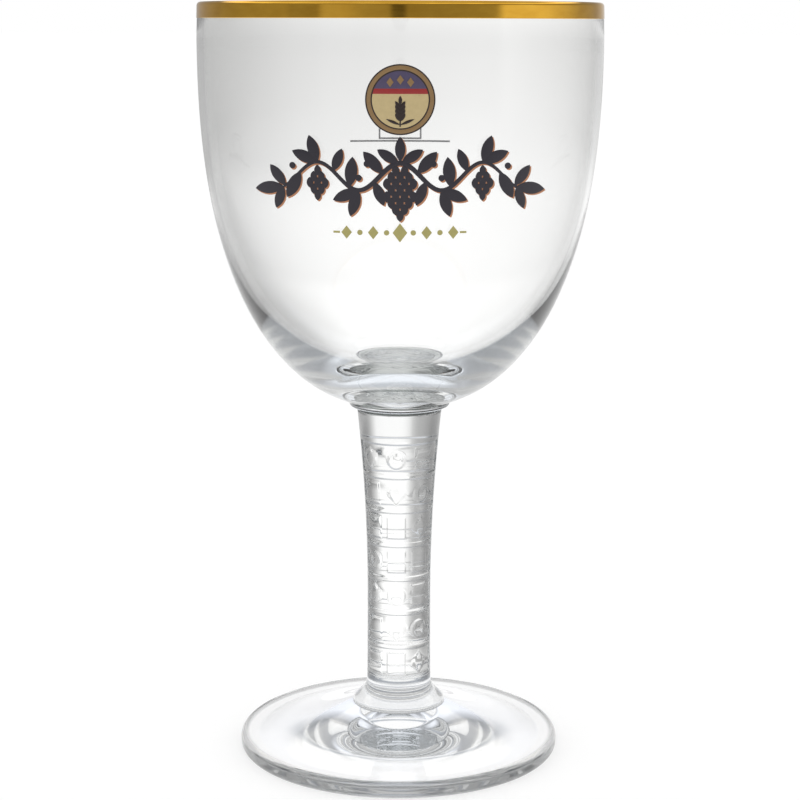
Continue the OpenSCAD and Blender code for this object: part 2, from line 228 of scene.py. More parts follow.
class Bench:
    """Builds one node tree with short calls."""

    def __init__(self, name: str) -> None:
        """Starts an empty material with its output.

        Args:
            name: the material's name.
        """
        self.material = bpy.data.materials.new(name)
        self.material.use_nodes = True
        self.start(self.material.node_tree, "ShaderNodeOutputMaterial")

    @classmethod
    def on_tree(cls, tree: bpy.types.NodeTree, output: str) -> "Bench":
        """Starts on a tree that is no material's.

        Args:
            tree: the tree.
            output: type of the output node that it needs.

        Returns:
            The bench.
        """
        bench = cls.__new__(cls)
        bench.start(tree, output)
        return bench

    def start(self, tree: bpy.types.NodeTree, output: str) -> None:
        """Empties the tree and adds its output.

        Args:
            tree: the tree.
            output: type of its output node.
        """
        self.tree = tree
        tree.nodes.clear()
        self.output = tree.nodes.new(output)

    def node(self, kind: str, **sockets: object) -> bpy.types.Node:
        """Adds a node and sets or links its inputs.

        Args:
            kind: the node's type.
            sockets: input names with underscores for spaces, each with a value or an output socket.

        Returns:
            The node.
        """
        made = self.tree.nodes.new(kind)
        for name, value in sockets.items():
            self.feed(made.inputs[name.replace("_", " ")], value)
        return made

    def feed(self, socket: Socket, value: object) -> None:
        """Links an output socket to an input, or sets the input to a plain value.

        Args:
            socket: the input.
            value: what it gets.
        """
        if isinstance(value, Socket):
            self.tree.links.new(value, socket)
        else:
            socket.default_value = value

    def math(self, operation: str, *values: object) -> Socket:
        """Adds a Math node.

        Args:
            operation: the node's operation.
            values: its inputs, each a value or an output socket.

        Returns:
            The node's output.
        """
        made = self.tree.nodes.new("ShaderNodeMath")
        made.operation = operation
        for socket, value in zip(made.inputs, values):
            self.feed(socket, value)
        return made.outputs[0]

    def mix(self, factor: object, first: object, second: object, blend: str = "MIX") -> Socket:
        """Adds a colour Mix node.

        Args:
            factor: share of the second colour.
            first: the first colour.
            second: the second colour.
            blend: how the second colour is laid on the first.

        Returns:
            The node's colour output.
        """
        made = self.tree.nodes.new("ShaderNodeMix")
        made.data_type = "RGBA"
        made.blend_type = blend
        for place, value in ((0, factor), (6, first), (7, second)):
            self.feed(made.inputs[place], value)
        return made.outputs[2]

    def ramp(self, value: Socket, stops: Sequence[tuple[float, float | Colour]]) -> Socket:
        """Adds a colour ramp with straight stretches between its stops.

        Args:
            value: the socket that runs along the ramp.
            stops: places from 0 to 1, each with a colour or a grey level.

        Returns:
            The ramp's colour output.
        """
        made = self.node("ShaderNodeValToRGB", Fac=value)
        elements = made.color_ramp.elements
        while len(elements) < len(stops):
            elements.new(0.5)
        for element, (place, colour) in zip(elements, stops):
            element.position = place
            element.color = colour if isinstance(colour, tuple) else (colour, colour, colour, 1.0)
        return made.outputs[0]

    def fade(self, value: Socket, start: float, end: float) -> Socket:
        """Adds a Map Range node that eases from 0 to 1 between two values.

        Args:
            value: the socket that is mapped.
            start: value at which the result leaves 0.
            end: value at which it reaches 1.

        Returns:
            The node's output.
        """
        made = self.node("ShaderNodeMapRange", Value=value)
        made.interpolation_type = "SMOOTHSTEP"
        made.inputs["From Min"].default_value, made.inputs["From Max"].default_value = start, end
        return made.outputs[0]

    def length(self, vector: object) -> Socket:
        """Adds a node that gives a vector's length."""
        made = self.node("ShaderNodeVectorMath", Vector=vector)
        made.operation = "LENGTH"
        return made.outputs["Value"]

    def noise(self, pattern: Pattern) -> Socket:
        """Adds a noise in object space.

        Args:
            pattern: its scale, detail and stretch along the axes.

        Returns:
            The noise's value.
        """
        place = self.node("ShaderNodeTexCoord").outputs["Object"]
        mapping = self.node("ShaderNodeMapping", Vector=place, Scale=pattern.stretch)
        texture = self.node(
            "ShaderNodeTexNoise", Vector=mapping.outputs[0], Scale=pattern.scale, Detail=pattern.detail
        )
        return texture.outputs[0]

    def bump(self, height: Socket, depth: float, strength: float = 1.0) -> Socket:
        """Adds a Bump node.

        Args:
            height: the pattern that rises and falls.
            depth: its height in metres.
            strength: share of it that shows.

        Returns:
            The bent normal.
        """
        return self.node("ShaderNodeBump", Strength=strength, Distance=depth, Height=height).outputs[0]

    def surface(self, shader: Socket) -> bpy.types.Material:
        """Links the shader to the output and returns the material."""
        self.tree.links.new(shader, self.output.inputs["Surface"])
        return self.material


@dataclass(frozen=True)
class GlassFinish:
    """Clear soda glass: fire-polished, faintly wavy, greyer in depth, with painted shade where it is seen
    edge on.

    The edge shade is a list of shares, from 0 for a face seen straight on to 1 for one seen edge on, each
    with the grey of painted shade laid into the glass's colour there. The rim is a list of distances from
    the axis with painted greys.
    """

    name: str
    ior: float = 1.52
    # Painted shade: greys laid into the glass's colour where a face is seen edge on.
    slant_shade: Levels = ((0.1, 0.996), (0.5, 0.96), (0.9, 0.89))
    slant_blue: float = 0.995
    depth_tint: Colour = (0.08, 0.14, 0.12, 1.0)
    depth_grey: float = 4.0
    wave: Pattern = Pattern(60.0, 1.0, (1.0, 1.0, 0.5))
    wave_height: float = 0.02 * MM
    rim: Levels = ()
    rim_blue: float = 1.01
    rim_reach: float = 50.0 * MM

    def make(self) -> bpy.types.Material:
        """Builds the material.

        Returns:
            The material.
        """
        bench = Bench(self.name)
        facing = bench.node("ShaderNodeLayerWeight", Blend=0.5).outputs["Facing"]
        # Painted shade: the glass's colour darkens where a face is seen edge on.
        painted_shade = bench.ramp(facing, [(place, (g, g, g * self.slant_blue, 1.0)) for place, g in self.slant_shade])
        if self.rim:
            # Painted shade in rings round the axis, multiplied in.
            painted_shade = bench.mix(1.0, painted_shade, self.rim_painted_shade(bench), "MULTIPLY")
        shader = bench.node(
            "ShaderNodeBsdfPrincipled",
            Base_Color=painted_shade,
            Roughness=0.0,
            IOR=self.ior,
            Transmission_Weight=1.0,
            Normal=bench.bump(bench.noise(self.wave), self.wave_height),
        )
        inside = bench.node("ShaderNodeVolumeAbsorption", Color=self.depth_tint, Density=self.depth_grey)
        bench.tree.links.new(inside.outputs[0], bench.output.inputs["Volume"])
        return bench.surface(shader.outputs[0])

    def rim_painted_shade(self, bench: Bench) -> Socket:
        """Painted shade of the glass, in rings by its distance from the axis.

        Args:
            bench: the material's tree.

        Returns:
            The painted shade, as a grey.
        """
        place = bench.node("ShaderNodeTexCoord").outputs["Object"]
        flat = bench.node("ShaderNodeVectorMath", Vector=place)
        flat.operation = "MULTIPLY"
        flat.inputs[1].default_value = (1.0, 1.0, 0.0)
        share = bench.math("DIVIDE", bench.length(flat.outputs[0]), self.rim_reach)
        return bench.ramp(
            share, [(radius / self.rim_reach, (g, g, g * self.rim_blue, 1.0)) for radius, g in self.rim]
        )


@dataclass(frozen=True)
class SeamFinish:
    """A fused joint between two gathers, which light passes without a trace."""

    name: str = "fused_joint"

    def make(self) -> bpy.types.Material:
        """Builds the material."""
        bench = Bench(self.name)
        return bench.surface(bench.node("ShaderNodeBsdfTransparent").outputs[0])


@dataclass(frozen=True)
class GoldFinish:
    """Bright fired gold, brushed on in a turning stroke and thinner in places."""

    name: str = "fired_gold"
    rich: Colour = (0.58, 0.3, 0.03, 1.0)
    pale: Colour = (0.78, 0.45, 0.06, 1.0)
    cloud: Pattern = Pattern(220.0, 4.0, (1.0, 1.0, 3.0))
    stroke: Pattern = Pattern(900.0, 2.0, (0.15, 0.15, 4.0))
    stroke_height: float = 0.02 * MM
    stroke_share: float = 0.35
    smoothest: float = 0.03
    roughening: float = 0.12

    def make(self) -> bpy.types.Material:
        """Builds the material.

        Returns:
            The material.
        """
        bench = Bench(self.name)
        cloud, stroke = bench.noise(self.cloud), bench.noise(self.stroke)
        shader = bench.node(
            "ShaderNodeBsdfPrincipled",
            Base_Color=bench.mix(cloud, self.rich, self.pale),
            Metallic=1.0,
            Roughness=bench.math("MULTIPLY_ADD", cloud, self.roughening, self.smoothest),
            Normal=bench.bump(stroke, self.stroke_height, self.stroke_share),
        )
        return bench.surface(shader.outputs[0])


@dataclass(frozen=True)
class EnamelFinish:
    """A fired screen print: a thin glassy ink with fine mottling and a slightly uneven gloss."""

    name: str
    colour: tuple[float, float, float]
    mottle: float = 0.14
    cloud: Pattern = Pattern(900.0, 3.0)
    cloud_share: float = 0.7
    grain: Pattern = Pattern(6000.0, 2.0)
    grain_share: float = 0.3
    grain_height: float = 0.01 * MM
    grain_depth_share: float = 0.25
    ior: float = 1.5
    smoothest: float = 0.22
    roughening: float = 0.2

    def make(self) -> bpy.types.Material:
        """Builds the material.

        Returns:
            The material.
        """
        bench = Bench(self.name)
        dark = tuple(c * (1.0 - self.mottle) for c in self.colour) + (1.0,)
        light = tuple(min(1.0, c * (1.0 + self.mottle)) for c in self.colour) + (1.0,)
        cloud, grain = bench.noise(self.cloud), bench.noise(self.grain)
        fine = bench.math("MULTIPLY", grain, self.grain_share)
        shader = bench.node(
            "ShaderNodeBsdfPrincipled",
            Base_Color=bench.mix(bench.math("MULTIPLY_ADD", cloud, self.cloud_share, fine), dark, light),
            Roughness=bench.math("MULTIPLY_ADD", cloud, self.roughening, self.smoothest),
            IOR=self.ior,
            Normal=bench.bump(grain, self.grain_height, self.grain_depth_share),
        )
        return bench.surface(shader.outputs[0])


def srgb(red: int, green: int, blue: int) -> tuple[float, float, float]:
    """Linear colour of an sRGB colour given in steps of 255, by the sRGB curve.

    Args:
        red: the colour's red.
        green: its green.
        blue: its blue.

    Returns:
        The three linear values.
    """
    share = np.array([red, green, blue]) / 255.0
    linear = np.where(share <= 0.04045, share / 12.92, ((share + 0.055) / 1.055) ** 2.4)
    return tuple(float(c) for c in linear)


@dataclass
class Finishes:
    """All finishes of the glass, built once and handed to the pieces."""

    bowl_glass: GlassFinish = GlassFinish("bowl_glass")
    stem_glass: GlassFinish = GlassFinish(
        "stem_glass",
        # Painted shade: the stem's sides are painted much greyer where they are seen edge on.
        slant_shade=((0.1, 0.996), (0.2, 0.91), (0.29, 0.66), (0.42, 0.36), (0.6, 0.26)),
        wave_height=0.01 * MM,
    )
    collar_glass: GlassFinish = GlassFinish("collar_glass")
    foot_glass: GlassFinish = GlassFinish(
        "foot_glass",
        depth_grey=3.0,
        # Painted shade: a grey ring round the boss and a dark band at the foot's edge.
        rim=(
            (7.6 * MM, 1.0), (8.4 * MM, 0.8), (10.6 * MM, 0.8), (12.0 * MM, 1.0), (36.6 * MM, 1.0),
            (37.4 * MM, 0.6), (38.7 * MM, 0.3),
        ),
    )
    gold: GoldFinish = GoldFinish()
    seam: SeamFinish = SeamFinish()
    inks: dict[Slot, tuple[int, int, int]] = field(
        default_factory=lambda: {
            Slot.DARK: (38, 24, 20),
            Slot.BRONZE: (132, 104, 66),
            Slot.SLATE: (72, 64, 92),
            Slot.RED: (144, 34, 34),
            Slot.SAND: (184, 165, 120),
            Slot.COPPER: (176, 120, 84),
            Slot.INK: (24, 18, 32),
            Slot.KHAKI: (160, 152, 92),
            Slot.GREY: (150, 150, 154),
        }
    )
    built: dict[str, bpy.types.Material] = field(default_factory=dict)

    def material(self, finish: GlassFinish | SeamFinish | GoldFinish | EnamelFinish) -> bpy.types.Material:
        """Gives a finish's material, made the first time that it is asked for.

        Args:
            finish: the finish.

        Returns:
            Its material.
        """
        if finish.name not in self.built:
            self.built[finish.name] = finish.make()
        return self.built[finish.name]

    def ink(self, slot: Slot) -> bpy.types.Material:
        """Gives the material of the enamel that a slot holds."""
        return self.material(EnamelFinish(slot.value, srgb(*self.inks[slot])))


def settle(piece: bpy.types.Object, slot: Slot, *nodes: str) -> None:
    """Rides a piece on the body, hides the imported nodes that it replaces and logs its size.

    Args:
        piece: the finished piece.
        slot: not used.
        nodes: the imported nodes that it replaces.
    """
    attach(piece, "root")
    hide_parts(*nodes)
    LOG.info("%s: %d points, %d faces", piece.name, len(piece.data.vertices), len(piece.data.polygons))


# The glass


@dataclass
class BowlShape:
    """The bowl's inner and outer curves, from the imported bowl's box and a few sizes of its own."""

    outer_r: float = 47.0 * MM
    mouth_h: float = 8.1 * MM
    mouth_draw: float = 0.25 * MM
    wall: float = 1.6 * MM
    base: float = 6.8 * MM
    floor_r: float = 10.3 * MM
    seat_r: float = 11.95 * MM
    outer_fullness: float = 2.36
    inner_fullness: float = 2.55
    crowding: float = 0.9
    lip_steps: int = 16

    def __post_init__(self) -> None:
        """Takes the heights of seat and lip from the frame, and works out the rest."""
        low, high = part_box("bowl")
        self.seat_z, self.lip_z = low.z, high.z
        self.belly_z = self.lip_z - self.mouth_h
        self.floor_z = self.seat_z + self.base
        self.lip_r = self.wall / 2.0
        self.mouth_r = self.outer_r - self.mouth_draw - self.lip_r

    def depth(self, radius: float, end_r: float, depth: float, fullness: float) -> float:
        """Depth of the full superellipse whose curve reaches end_r at the given depth."""
        return depth / (1.0 - (end_r / radius) ** fullness) ** (1.0 / fullness)

    def radius_at(self, height: np.ndarray, off: float = 0.0) -> np.ndarray:
        """Outer radius at a height: a superellipse under the widest ring, a slight draw over it.

        Under the ring the radius is (1 less the share of the depth to the power n) to the power 1 / n.

        Args:
            height: heights over the table.
            off: distance off the glass.

        Returns:
            The radii.
        """
        deep = self.depth(self.outer_r, self.seat_r, self.belly_z - self.seat_z, self.outer_fullness) + off
        share = np.clip((self.belly_z - height) / deep, 0.0, 1.0)
        under = (self.outer_r + off) * (1.0 - share**self.outer_fullness) ** (1.0 / self.outer_fullness)
        over = self.outer_r + off - self.mouth_draw * (height - self.belly_z) / (self.mouth_h - self.lip_r)
        return np.where(height > self.belly_z, over, under)

    def curve(self, inside: bool, steps: int) -> np.ndarray:
        """Points of a quarter superellipse from the widest ring down, outside or inside.

        The radius follows the turn's cosine to the power 2 / n, and the depth its sine to that power.

        Args:
            inside: whether the inner curve is wanted.
            steps: number of steps.

        Returns:
            One row of radius and height for each point.
        """
        radius = self.outer_r - (self.wall if inside else 0.0)
        end_r, end_z = (self.floor_r, self.floor_z) if inside else (self.seat_r, self.seat_z)
        power = self.inner_fullness if inside else self.outer_fullness
        deep = self.depth(radius, end_r, self.belly_z - end_z, power)
        last = math.acos((end_r / radius) ** (power / 2.0))
        turn = last * np.linspace(0.0, 1.0, steps + 1) ** self.crowding
        out, down = np.cos(turn) ** (2.0 / power), np.sin(turn) ** (2.0 / power)
        return np.stack([radius * out, self.belly_z - deep * down], axis=1)

    def lip(self, off: float = 0.0) -> np.ndarray:
        """Half-round lip from outside to inside."""
        return arc((self.mouth_r, self.lip_z - self.lip_r), self.lip_r + off, 0.0, 180.0, self.lip_steps)


@dataclass
class Bowl:
    """The blown cup with its thick base."""

    shape: BowlShape
    around: int = 288
    outer_steps: int = 120
    inner_steps: int = 110
    seat_step: float = 4.0 * MM
    floor_step: float = 2.0 * MM

    def profile(self) -> np.ndarray:
        """Outline from the middle of the seat, up the outside, over the lip and down the inside.

        Returns:
            One row of radius and height for each point.
        """
        s = self.shape
        outside, inside = s.curve(False, self.outer_steps)[::-1], s.curve(True, self.inner_steps)
        seat = polyline([(0.0, s.seat_z), (s.seat_r, s.seat_z)], self.seat_step)[:-1]
        floor = polyline([(s.floor_r, s.floor_z), (0.0, s.floor_z)], self.floor_step)[1:]
        return np.concatenate([seat, outside, s.lip(), inside, floor])

    def build(self, finishes: Finishes) -> None:
        """Builds the cup, with its seat as a fused joint.

        Args:
            finishes: the shared finishes.
        """
        piece = make_piece("bowl_glass", *revolved(self.profile(), self.around))
        dress_with_seams(piece, finishes, finishes.bowl_glass, (self.shape.seat_z,))
        settle(piece, Slot.GLASS, "bowl")


def dress_with_seams(
    piece: bpy.types.Object,
    finishes: Finishes,
    glass: GlassFinish,
    levels: tuple[float, ...],
    flatness: float = 0.9999,
    reach: float = 0.01 * MM,
) -> None:
    """Gives a gather its glass, and its flat faces at the given heights the fused joint.

    Args:
        piece: the gather.
        finishes: the shared finishes.
        glass: its glass.
        levels: heights of its joints.
        flatness: least vertical share of a flat face's normal.
        reach: greatest distance of a joint's face from its height.
    """
    mesh = piece.data
    mesh.materials.append(finishes.material(glass))
    mesh.materials.append(finishes.material(finishes.seam))
    count = len(mesh.polygons)
    centre = np.empty(count * 3)
    normal = np.empty(count * 3)
    mesh.polygons.foreach_get("center", centre)
    mesh.polygons.foreach_get("normal", normal)
    height, flat = centre[2::3], np.abs(normal[2::3]) > flatness
    joint = np.zeros(count, bool)
    for z in levels:
        joint |= flat & (np.abs(height - z) < reach)
    mesh.polygons.foreach_set("material_index", joint.astype(np.int32))


@dataclass
class Collar:
    """The wafer between bowl and stem, with its rounded lower edge and short neck."""

    edge_r: float = 10.95 * MM
    neck_r: float = 9.6 * MM
    neck_h: float = 0.8 * MM
    around: int = 192
    edge_steps: int = 10
    neck_step: float = 0.4 * MM
    under_step: float = 0.3 * MM
    top_step: float = 0.5 * MM

    def profile(self, seat_r: float) -> np.ndarray:
        """Outline from the middle of the lower joint, up the neck, round the edge and in to the seat.

        Args:
            seat_r: radius of the bowl's seat.

        Returns:
            One row of radius and height for each point.
        """
        low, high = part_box("collar")
        outer, under = high.x, low.z + self.neck_h
        round_r = outer - self.edge_r
        return np.concatenate([
            polyline([(0.0, low.z), (self.neck_r, low.z), (self.neck_r, under)], self.neck_step),
            polyline([(self.neck_r, under), (outer - round_r, under)], self.under_step)[1:-1],
            arc((outer - round_r, under + round_r), round_r, -90.0, 0.0, self.edge_steps),
            polyline(
                [(outer, under + round_r), (outer, high.z), (seat_r, high.z), (0.0, high.z)], self.top_step
            )[1:],
        ])

    def build(self, finishes: Finishes, seat_r: float) -> None:
        """Builds the collar, fused to the bowl over it and to the stem under it.

        Args:
            finishes: the shared finishes.
            seat_r: radius of the bowl's seat.
        """
        low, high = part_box("collar")
        piece = make_piece("collar_glass", *revolved(self.profile(seat_r), self.around))
        dress_with_seams(piece, finishes, finishes.collar_glass, (low.z, high.z))
        settle(piece, Slot.GLASS, "collar")


@dataclass
class Stem:
    """The pressed stem: a slow taper to the waist, and rows of low figures between plain rings.

    The figures stand in columns, turned off the front by the turn in degrees. Numbered from 0 at the back,
    columns 2 and 6 of the eight are left out, for the plain strips up the sides, where the halves of the
    mould meet. The ground between rings, strips and figures lies lower by the relief.
    """

    top_r: float = 10.1 * MM
    waist_r: float = 7.65 * MM
    foot_r: float = 7.75 * MM
    waist_h: float = 21.0 * MM
    plain_h: float = 6.5 * MM
    relief: float = 0.25 * MM
    figure_w: float = 4.4 * MM
    figure_h: float = 5.2 * MM
    ring_h: float = 1.1 * MM
    strip_w: float = 4.6 * MM
    edge_r: float = 0.4 * MM
    blur: float = 0.55 * MM
    columns: int = 8
    rows: int = 7
    turn: float = -5.0
    around: int = 352
    along: int = 270
    crowding: float = 4.0
    crowding_steps: int = 6000
    cap_rings: int = 4
    missing_column: int = 2
    crease: float = 60.0

    def __post_init__(self) -> None:
        """Takes the joints' heights from the frame and works out the rows."""
        low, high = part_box("stem")
        self.low_z, self.length = low.z, high.z - low.z
        self.relief_low = self.ring_h
        self.relief_high = self.length - self.plain_h
        self.pitch = (self.relief_high - self.relief_low) / self.rows

    def radius(self, h: np.ndarray) -> np.ndarray:
        """Radius at a height over the lower joint: it swells with the square of the way from the waist.

        Args:
            h: heights over the lower joint.

        Returns:
            The radii.
        """
        over = (h - self.waist_h) / (self.length - self.waist_h)
        up = self.waist_r + (self.top_r - self.waist_r) * over**2
        down = self.waist_r + (self.foot_r - self.waist_r) * ((self.waist_h - h) / self.waist_h) ** 2
        return np.where(h > self.waist_h, up, down)

    def heights(self) -> np.ndarray:
        """Heights of the grid's rows, closer together at the edges of rings and figures.

        The rows' density is 1 plus a bell curve at each edge, and they stand at equal steps of its sum.

        Returns:
            The heights over the lower joint.
        """
        fine = np.linspace(0.0, self.length, self.crowding_steps + 1)
        dense = np.ones_like(fine)
        middles = self.relief_low + (np.arange(self.rows) + 0.5) * self.pitch
        joints = self.relief_low + np.arange(self.rows + 1) * self.pitch
        edges = np.concatenate([
            joints - self.ring_h / 2, joints + self.ring_h / 2,
            middles - self.figure_h / 2, middles + self.figure_h / 2,
            [self.length - self.edge_r / 2],
        ])
        for edge in edges:
            dense += self.crowding * np.exp(-(((fine - edge) / self.blur) ** 2))
        total = np.concatenate([[0.0], np.cumsum((dense[1:] + dense[:-1]) / 2)])
        return np.interp(np.linspace(0.0, total[-1], self.along), total, fine)

    def figure(self, kind: Relief, across: np.ndarray, up: np.ndarray) -> np.ndarray:
        """Signed distance to a figure's outline, below zero inside it.

        Plate and bars take the greater of the distances to their sides, the lozenge sums its shares
        across and up, and the ring compares the distance from its middle with its two radii.

        Args:
            kind: the figure.
            across: distances to the right of its middle.
            up: distances over its middle.

        Returns:
            The distances.
        """
        w, h = self.figure_w / 2, self.figure_h / 2
        if kind is Relief.PLATE:
            return np.maximum(np.abs(across) - w, np.abs(up) - h)
        if kind is Relief.LOZENGE:
            return (np.abs(across) / w + np.abs(up) / h - 1.0) * w * h / math.hypot(w, h)
        if kind is Relief.RING:
            far = np.hypot(across, up)
            return np.maximum(far - w, w / 2 - far)
        bar = np.abs(np.abs(up) - self.figure_h / 3) - self.figure_h / 6
        return np.maximum(np.abs(across) - w, bar)

    def raised(self, h: np.ndarray, angle: np.ndarray) -> np.ndarray:
        """Share of the relief's height at each point: 1 on rings, figures and the plain ends, 0 between.

        Args:
            h: heights over the lower joint.
            angle: turns round the axis, in radians.

        Returns:
            The shares, eased over the width of the relief's soft edge.
        """
        rise = h - self.relief_low
        ends = np.minimum(rise, self.relief_high - h)
        ring = np.abs(rise - np.round(rise / self.pitch) * self.pitch) - self.ring_h / 2
        strip = np.abs(self.radius(h) * np.sin(angle)) - self.strip_w / 2
        best = np.minimum(ends, np.minimum(ring, strip))
        row = np.clip((rise / self.pitch).astype(int), 0, self.rows - 1)
        up = rise - (row + 0.5) * self.pitch
        step = 2.0 * math.pi / self.columns
        start = math.radians(self.turn + 90.0)
        column = np.round((angle - start) / step)
        across = self.radius(h) * np.sin(angle - start - column * step)
        column = column.astype(int)
        kind = (row + column) % len(Relief)
        kept = column % len(Relief) != self.missing_column
        for figure in Relief:
            here = kept & (kind == figure.value)
            best = np.where(here, np.minimum(best, self.figure(figure, across, up)), best)
        return smooth(0.5 - best / self.blur)

    def surface(self) -> tuple[np.ndarray, np.ndarray]:
        """Surface of the stem: a radius for each height and turn, closed by flat joints.

        The radius is the taper less the relief where nothing is raised, with a small rounding at the top.

        Returns:
            Points and faces.
        """
        turns = np.linspace(0.0, 2.0 * math.pi, self.around, endpoint=False)
        h, angle = np.meshgrid(self.heights(), turns, indexing="ij")
        radius = self.radius(h) - self.relief * (1.0 - self.raised(h, angle))
        round_off = np.clip(h - (self.length - self.edge_r), 0.0, self.edge_r)
        radius = radius - self.edge_r + np.sqrt(np.maximum(self.edge_r**2 - round_off**2, 0.0))
        inner = np.linspace(0.0, 1.0, self.cap_rings)[:, None]
        low_cap, high_cap = radius[0] * inner, radius[-1] * inner[::-1]
        rings = np.concatenate([low_cap[:-1], radius, high_cap[1:]])
        levels = np.concatenate([0 * low_cap[:-1], h, 0 * high_cap[1:] + self.length])
        turn = np.broadcast_to(angle[:1], rings.shape)
        points = np.stack([rings * np.cos(turn), rings * np.sin(turn), self.low_z + levels], axis=-1)
        return points.reshape(-1, 3), quads_between(len(rings), self.around, wrap=True)

    def build(self, finishes: Finishes) -> None:
        """Builds the stem, fused at both ends.

        Args:
            finishes: the shared finishes.
        """
        piece = make_piece("stem_glass", *self.surface(), self.crease)
        dress_with_seams(piece, finishes, finishes.stem_glass, (self.low_z, self.low_z + self.length))
        settle(piece, Slot.GLASS, "stem")


@dataclass
class Foot:
    """The pressed disc with its flared boss, thick round edge and hollow underside."""

    edge_h: float = 4.1 * MM
    boss_foot_h: float = 10.8 * MM
    boss_r: float = 11.2 * MM
    low_edge_r: float = 1.6 * MM
    top_edge_r: float = 1.6 * MM
    rest_w: float = 3.0 * MM
    hollow: float = 2.3 * MM
    dome_h: float = 2.0 * MM
    dome_r: float = 7.5 * MM
    disc_power: float = 1.8
    flare_power: float = 1.35
    around: int = 256
    steps: int = 40
    dome_steps: int = 16
    edge_steps: int = 14
    rest_step: float = 1.0 * MM
    top_step: float = 2.0 * MM

    def underside(self, rest_r: float) -> np.ndarray:
        """Outline of the hollow from the axis to the resting ring.

        Its height falls with the square of the radius, and the dome's with the square of its own share.

        Args:
            rest_r: inner radius of the resting ring.

        Returns:
            One row of radius and height for each point.
        """
        inner = np.linspace(0.0, self.dome_r, self.dome_steps + 1)[:-1]
        out = np.concatenate([inner, np.linspace(self.dome_r, rest_r, self.steps + 1)])
        dome = self.dome_h * np.clip(1.0 - (out / self.dome_r) ** 2, 0.0, 1.0)
        return np.stack([out, self.hollow * (1.0 - (out / rest_r) ** 2) + dome], axis=1)

    def profile(self, stem_r: float) -> np.ndarray:
        """Outline from the middle of the underside, round the edge and up the flare to the joint.

        The disc rises with a power of the way in, and the flare widens with an eased power of the way down.

        Args:
            stem_r: radius of the stem at the joint.

        Returns:
            One row of radius and height for each point.
        """
        low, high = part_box("foot")
        low_r, top_r = high.x - self.low_edge_r, high.x - self.top_edge_r
        rest_r = low_r - self.rest_w
        u = np.linspace(0.0, 1.0, self.steps + 1)
        disc = np.stack([
            top_r + (self.boss_r - top_r) * u,
            self.edge_h + (self.boss_foot_h - self.edge_h) * u**self.disc_power,
        ], axis=1)
        down = u[::-1]
        flare = np.stack([
            stem_r + (self.boss_r - stem_r) * smooth(down**self.flare_power),
            high.z + (self.boss_foot_h - high.z) * down,
        ], axis=1)
        return np.concatenate([
            self.underside(rest_r),
            polyline([(rest_r, low.z), (low_r, low.z)], self.rest_step)[1:-1],
            arc((low_r, self.low_edge_r), self.low_edge_r, -90.0, 0.0, self.edge_steps),
            arc((top_r, self.edge_h - self.top_edge_r), self.top_edge_r, 0.0, 90.0, self.edge_steps),
            disc[1:], flare[1:],
            polyline([(stem_r, high.z), (0.0, high.z)], self.top_step)[1:],
        ])

    def build(self, finishes: Finishes, stem_r: float) -> None:
        """Builds the foot, whose top is fused to the stem.

        Args:
            finishes: the shared finishes.
            stem_r: radius of the stem at the joint.
        """
        piece = make_piece("foot_glass", *revolved(self.profile(stem_r), self.around))
        dress_with_seams(piece, finishes, finishes.foot_glass, (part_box("foot")[1].z,))
        settle(piece, Slot.GLASS, "foot")


@dataclass
class Gilding:
    """The gold band over the lip."""

    shape: BowlShape
    band_h: float = 3.6 * MM
    inside_h: float = 1.5 * MM
    thick: float = 0.1 * MM
    sunk: float = 0.02 * MM
    outer_round: float = 0.08 * MM
    outer_share: float = 0.5
    inner_round: float = 0.1 * MM
    inner_share: float = 0.7
    up_steps: int = 24
    around: int = 288

    def shell(self) -> np.ndarray:
        """Closed outline of the band: up the outside, over the lip, and back just under the glass.

        Returns:
            One row of radius and height for each point.
        """
        s = self.shape
        out_z, in_z = s.lip_z - self.band_h, s.lip_z - self.inside_h
        out_r = float(s.radius_at(np.array([out_z]))[0])
        in_r = float(s.radius_at(np.array([in_z]))[0]) - s.wall
        up = np.linspace(out_z + self.outer_round, s.lip_z - s.lip_r, self.up_steps + 1)
        return np.concatenate([
            [(out_r - self.sunk, out_z), (out_r + self.outer_share * self.thick, out_z)],
            np.stack([s.radius_at(up, self.thick), up], axis=1)[:-1],
            s.lip(self.thick),
            [(in_r - self.thick, in_z + self.inner_round), (in_r - self.inner_share * self.thick, in_z)],
            [(in_r + self.sunk, in_z)],
            s.lip(-self.sunk)[::-1],
            [(out_r - self.sunk, out_z)],
        ])

    def build(self, finishes: Finishes) -> None:
        """Builds the band: a thin shell round the lip, a little sunk into the glass.

        Args:
            finishes: the shared finishes.
        """
        piece = make_piece("rim_gold", *revolved(self.shell(), self.around))
        piece.data.materials.append(finishes.material(finishes.gold))
        settle(piece, Slot.GOLD, "rim_gilding")


# The prints


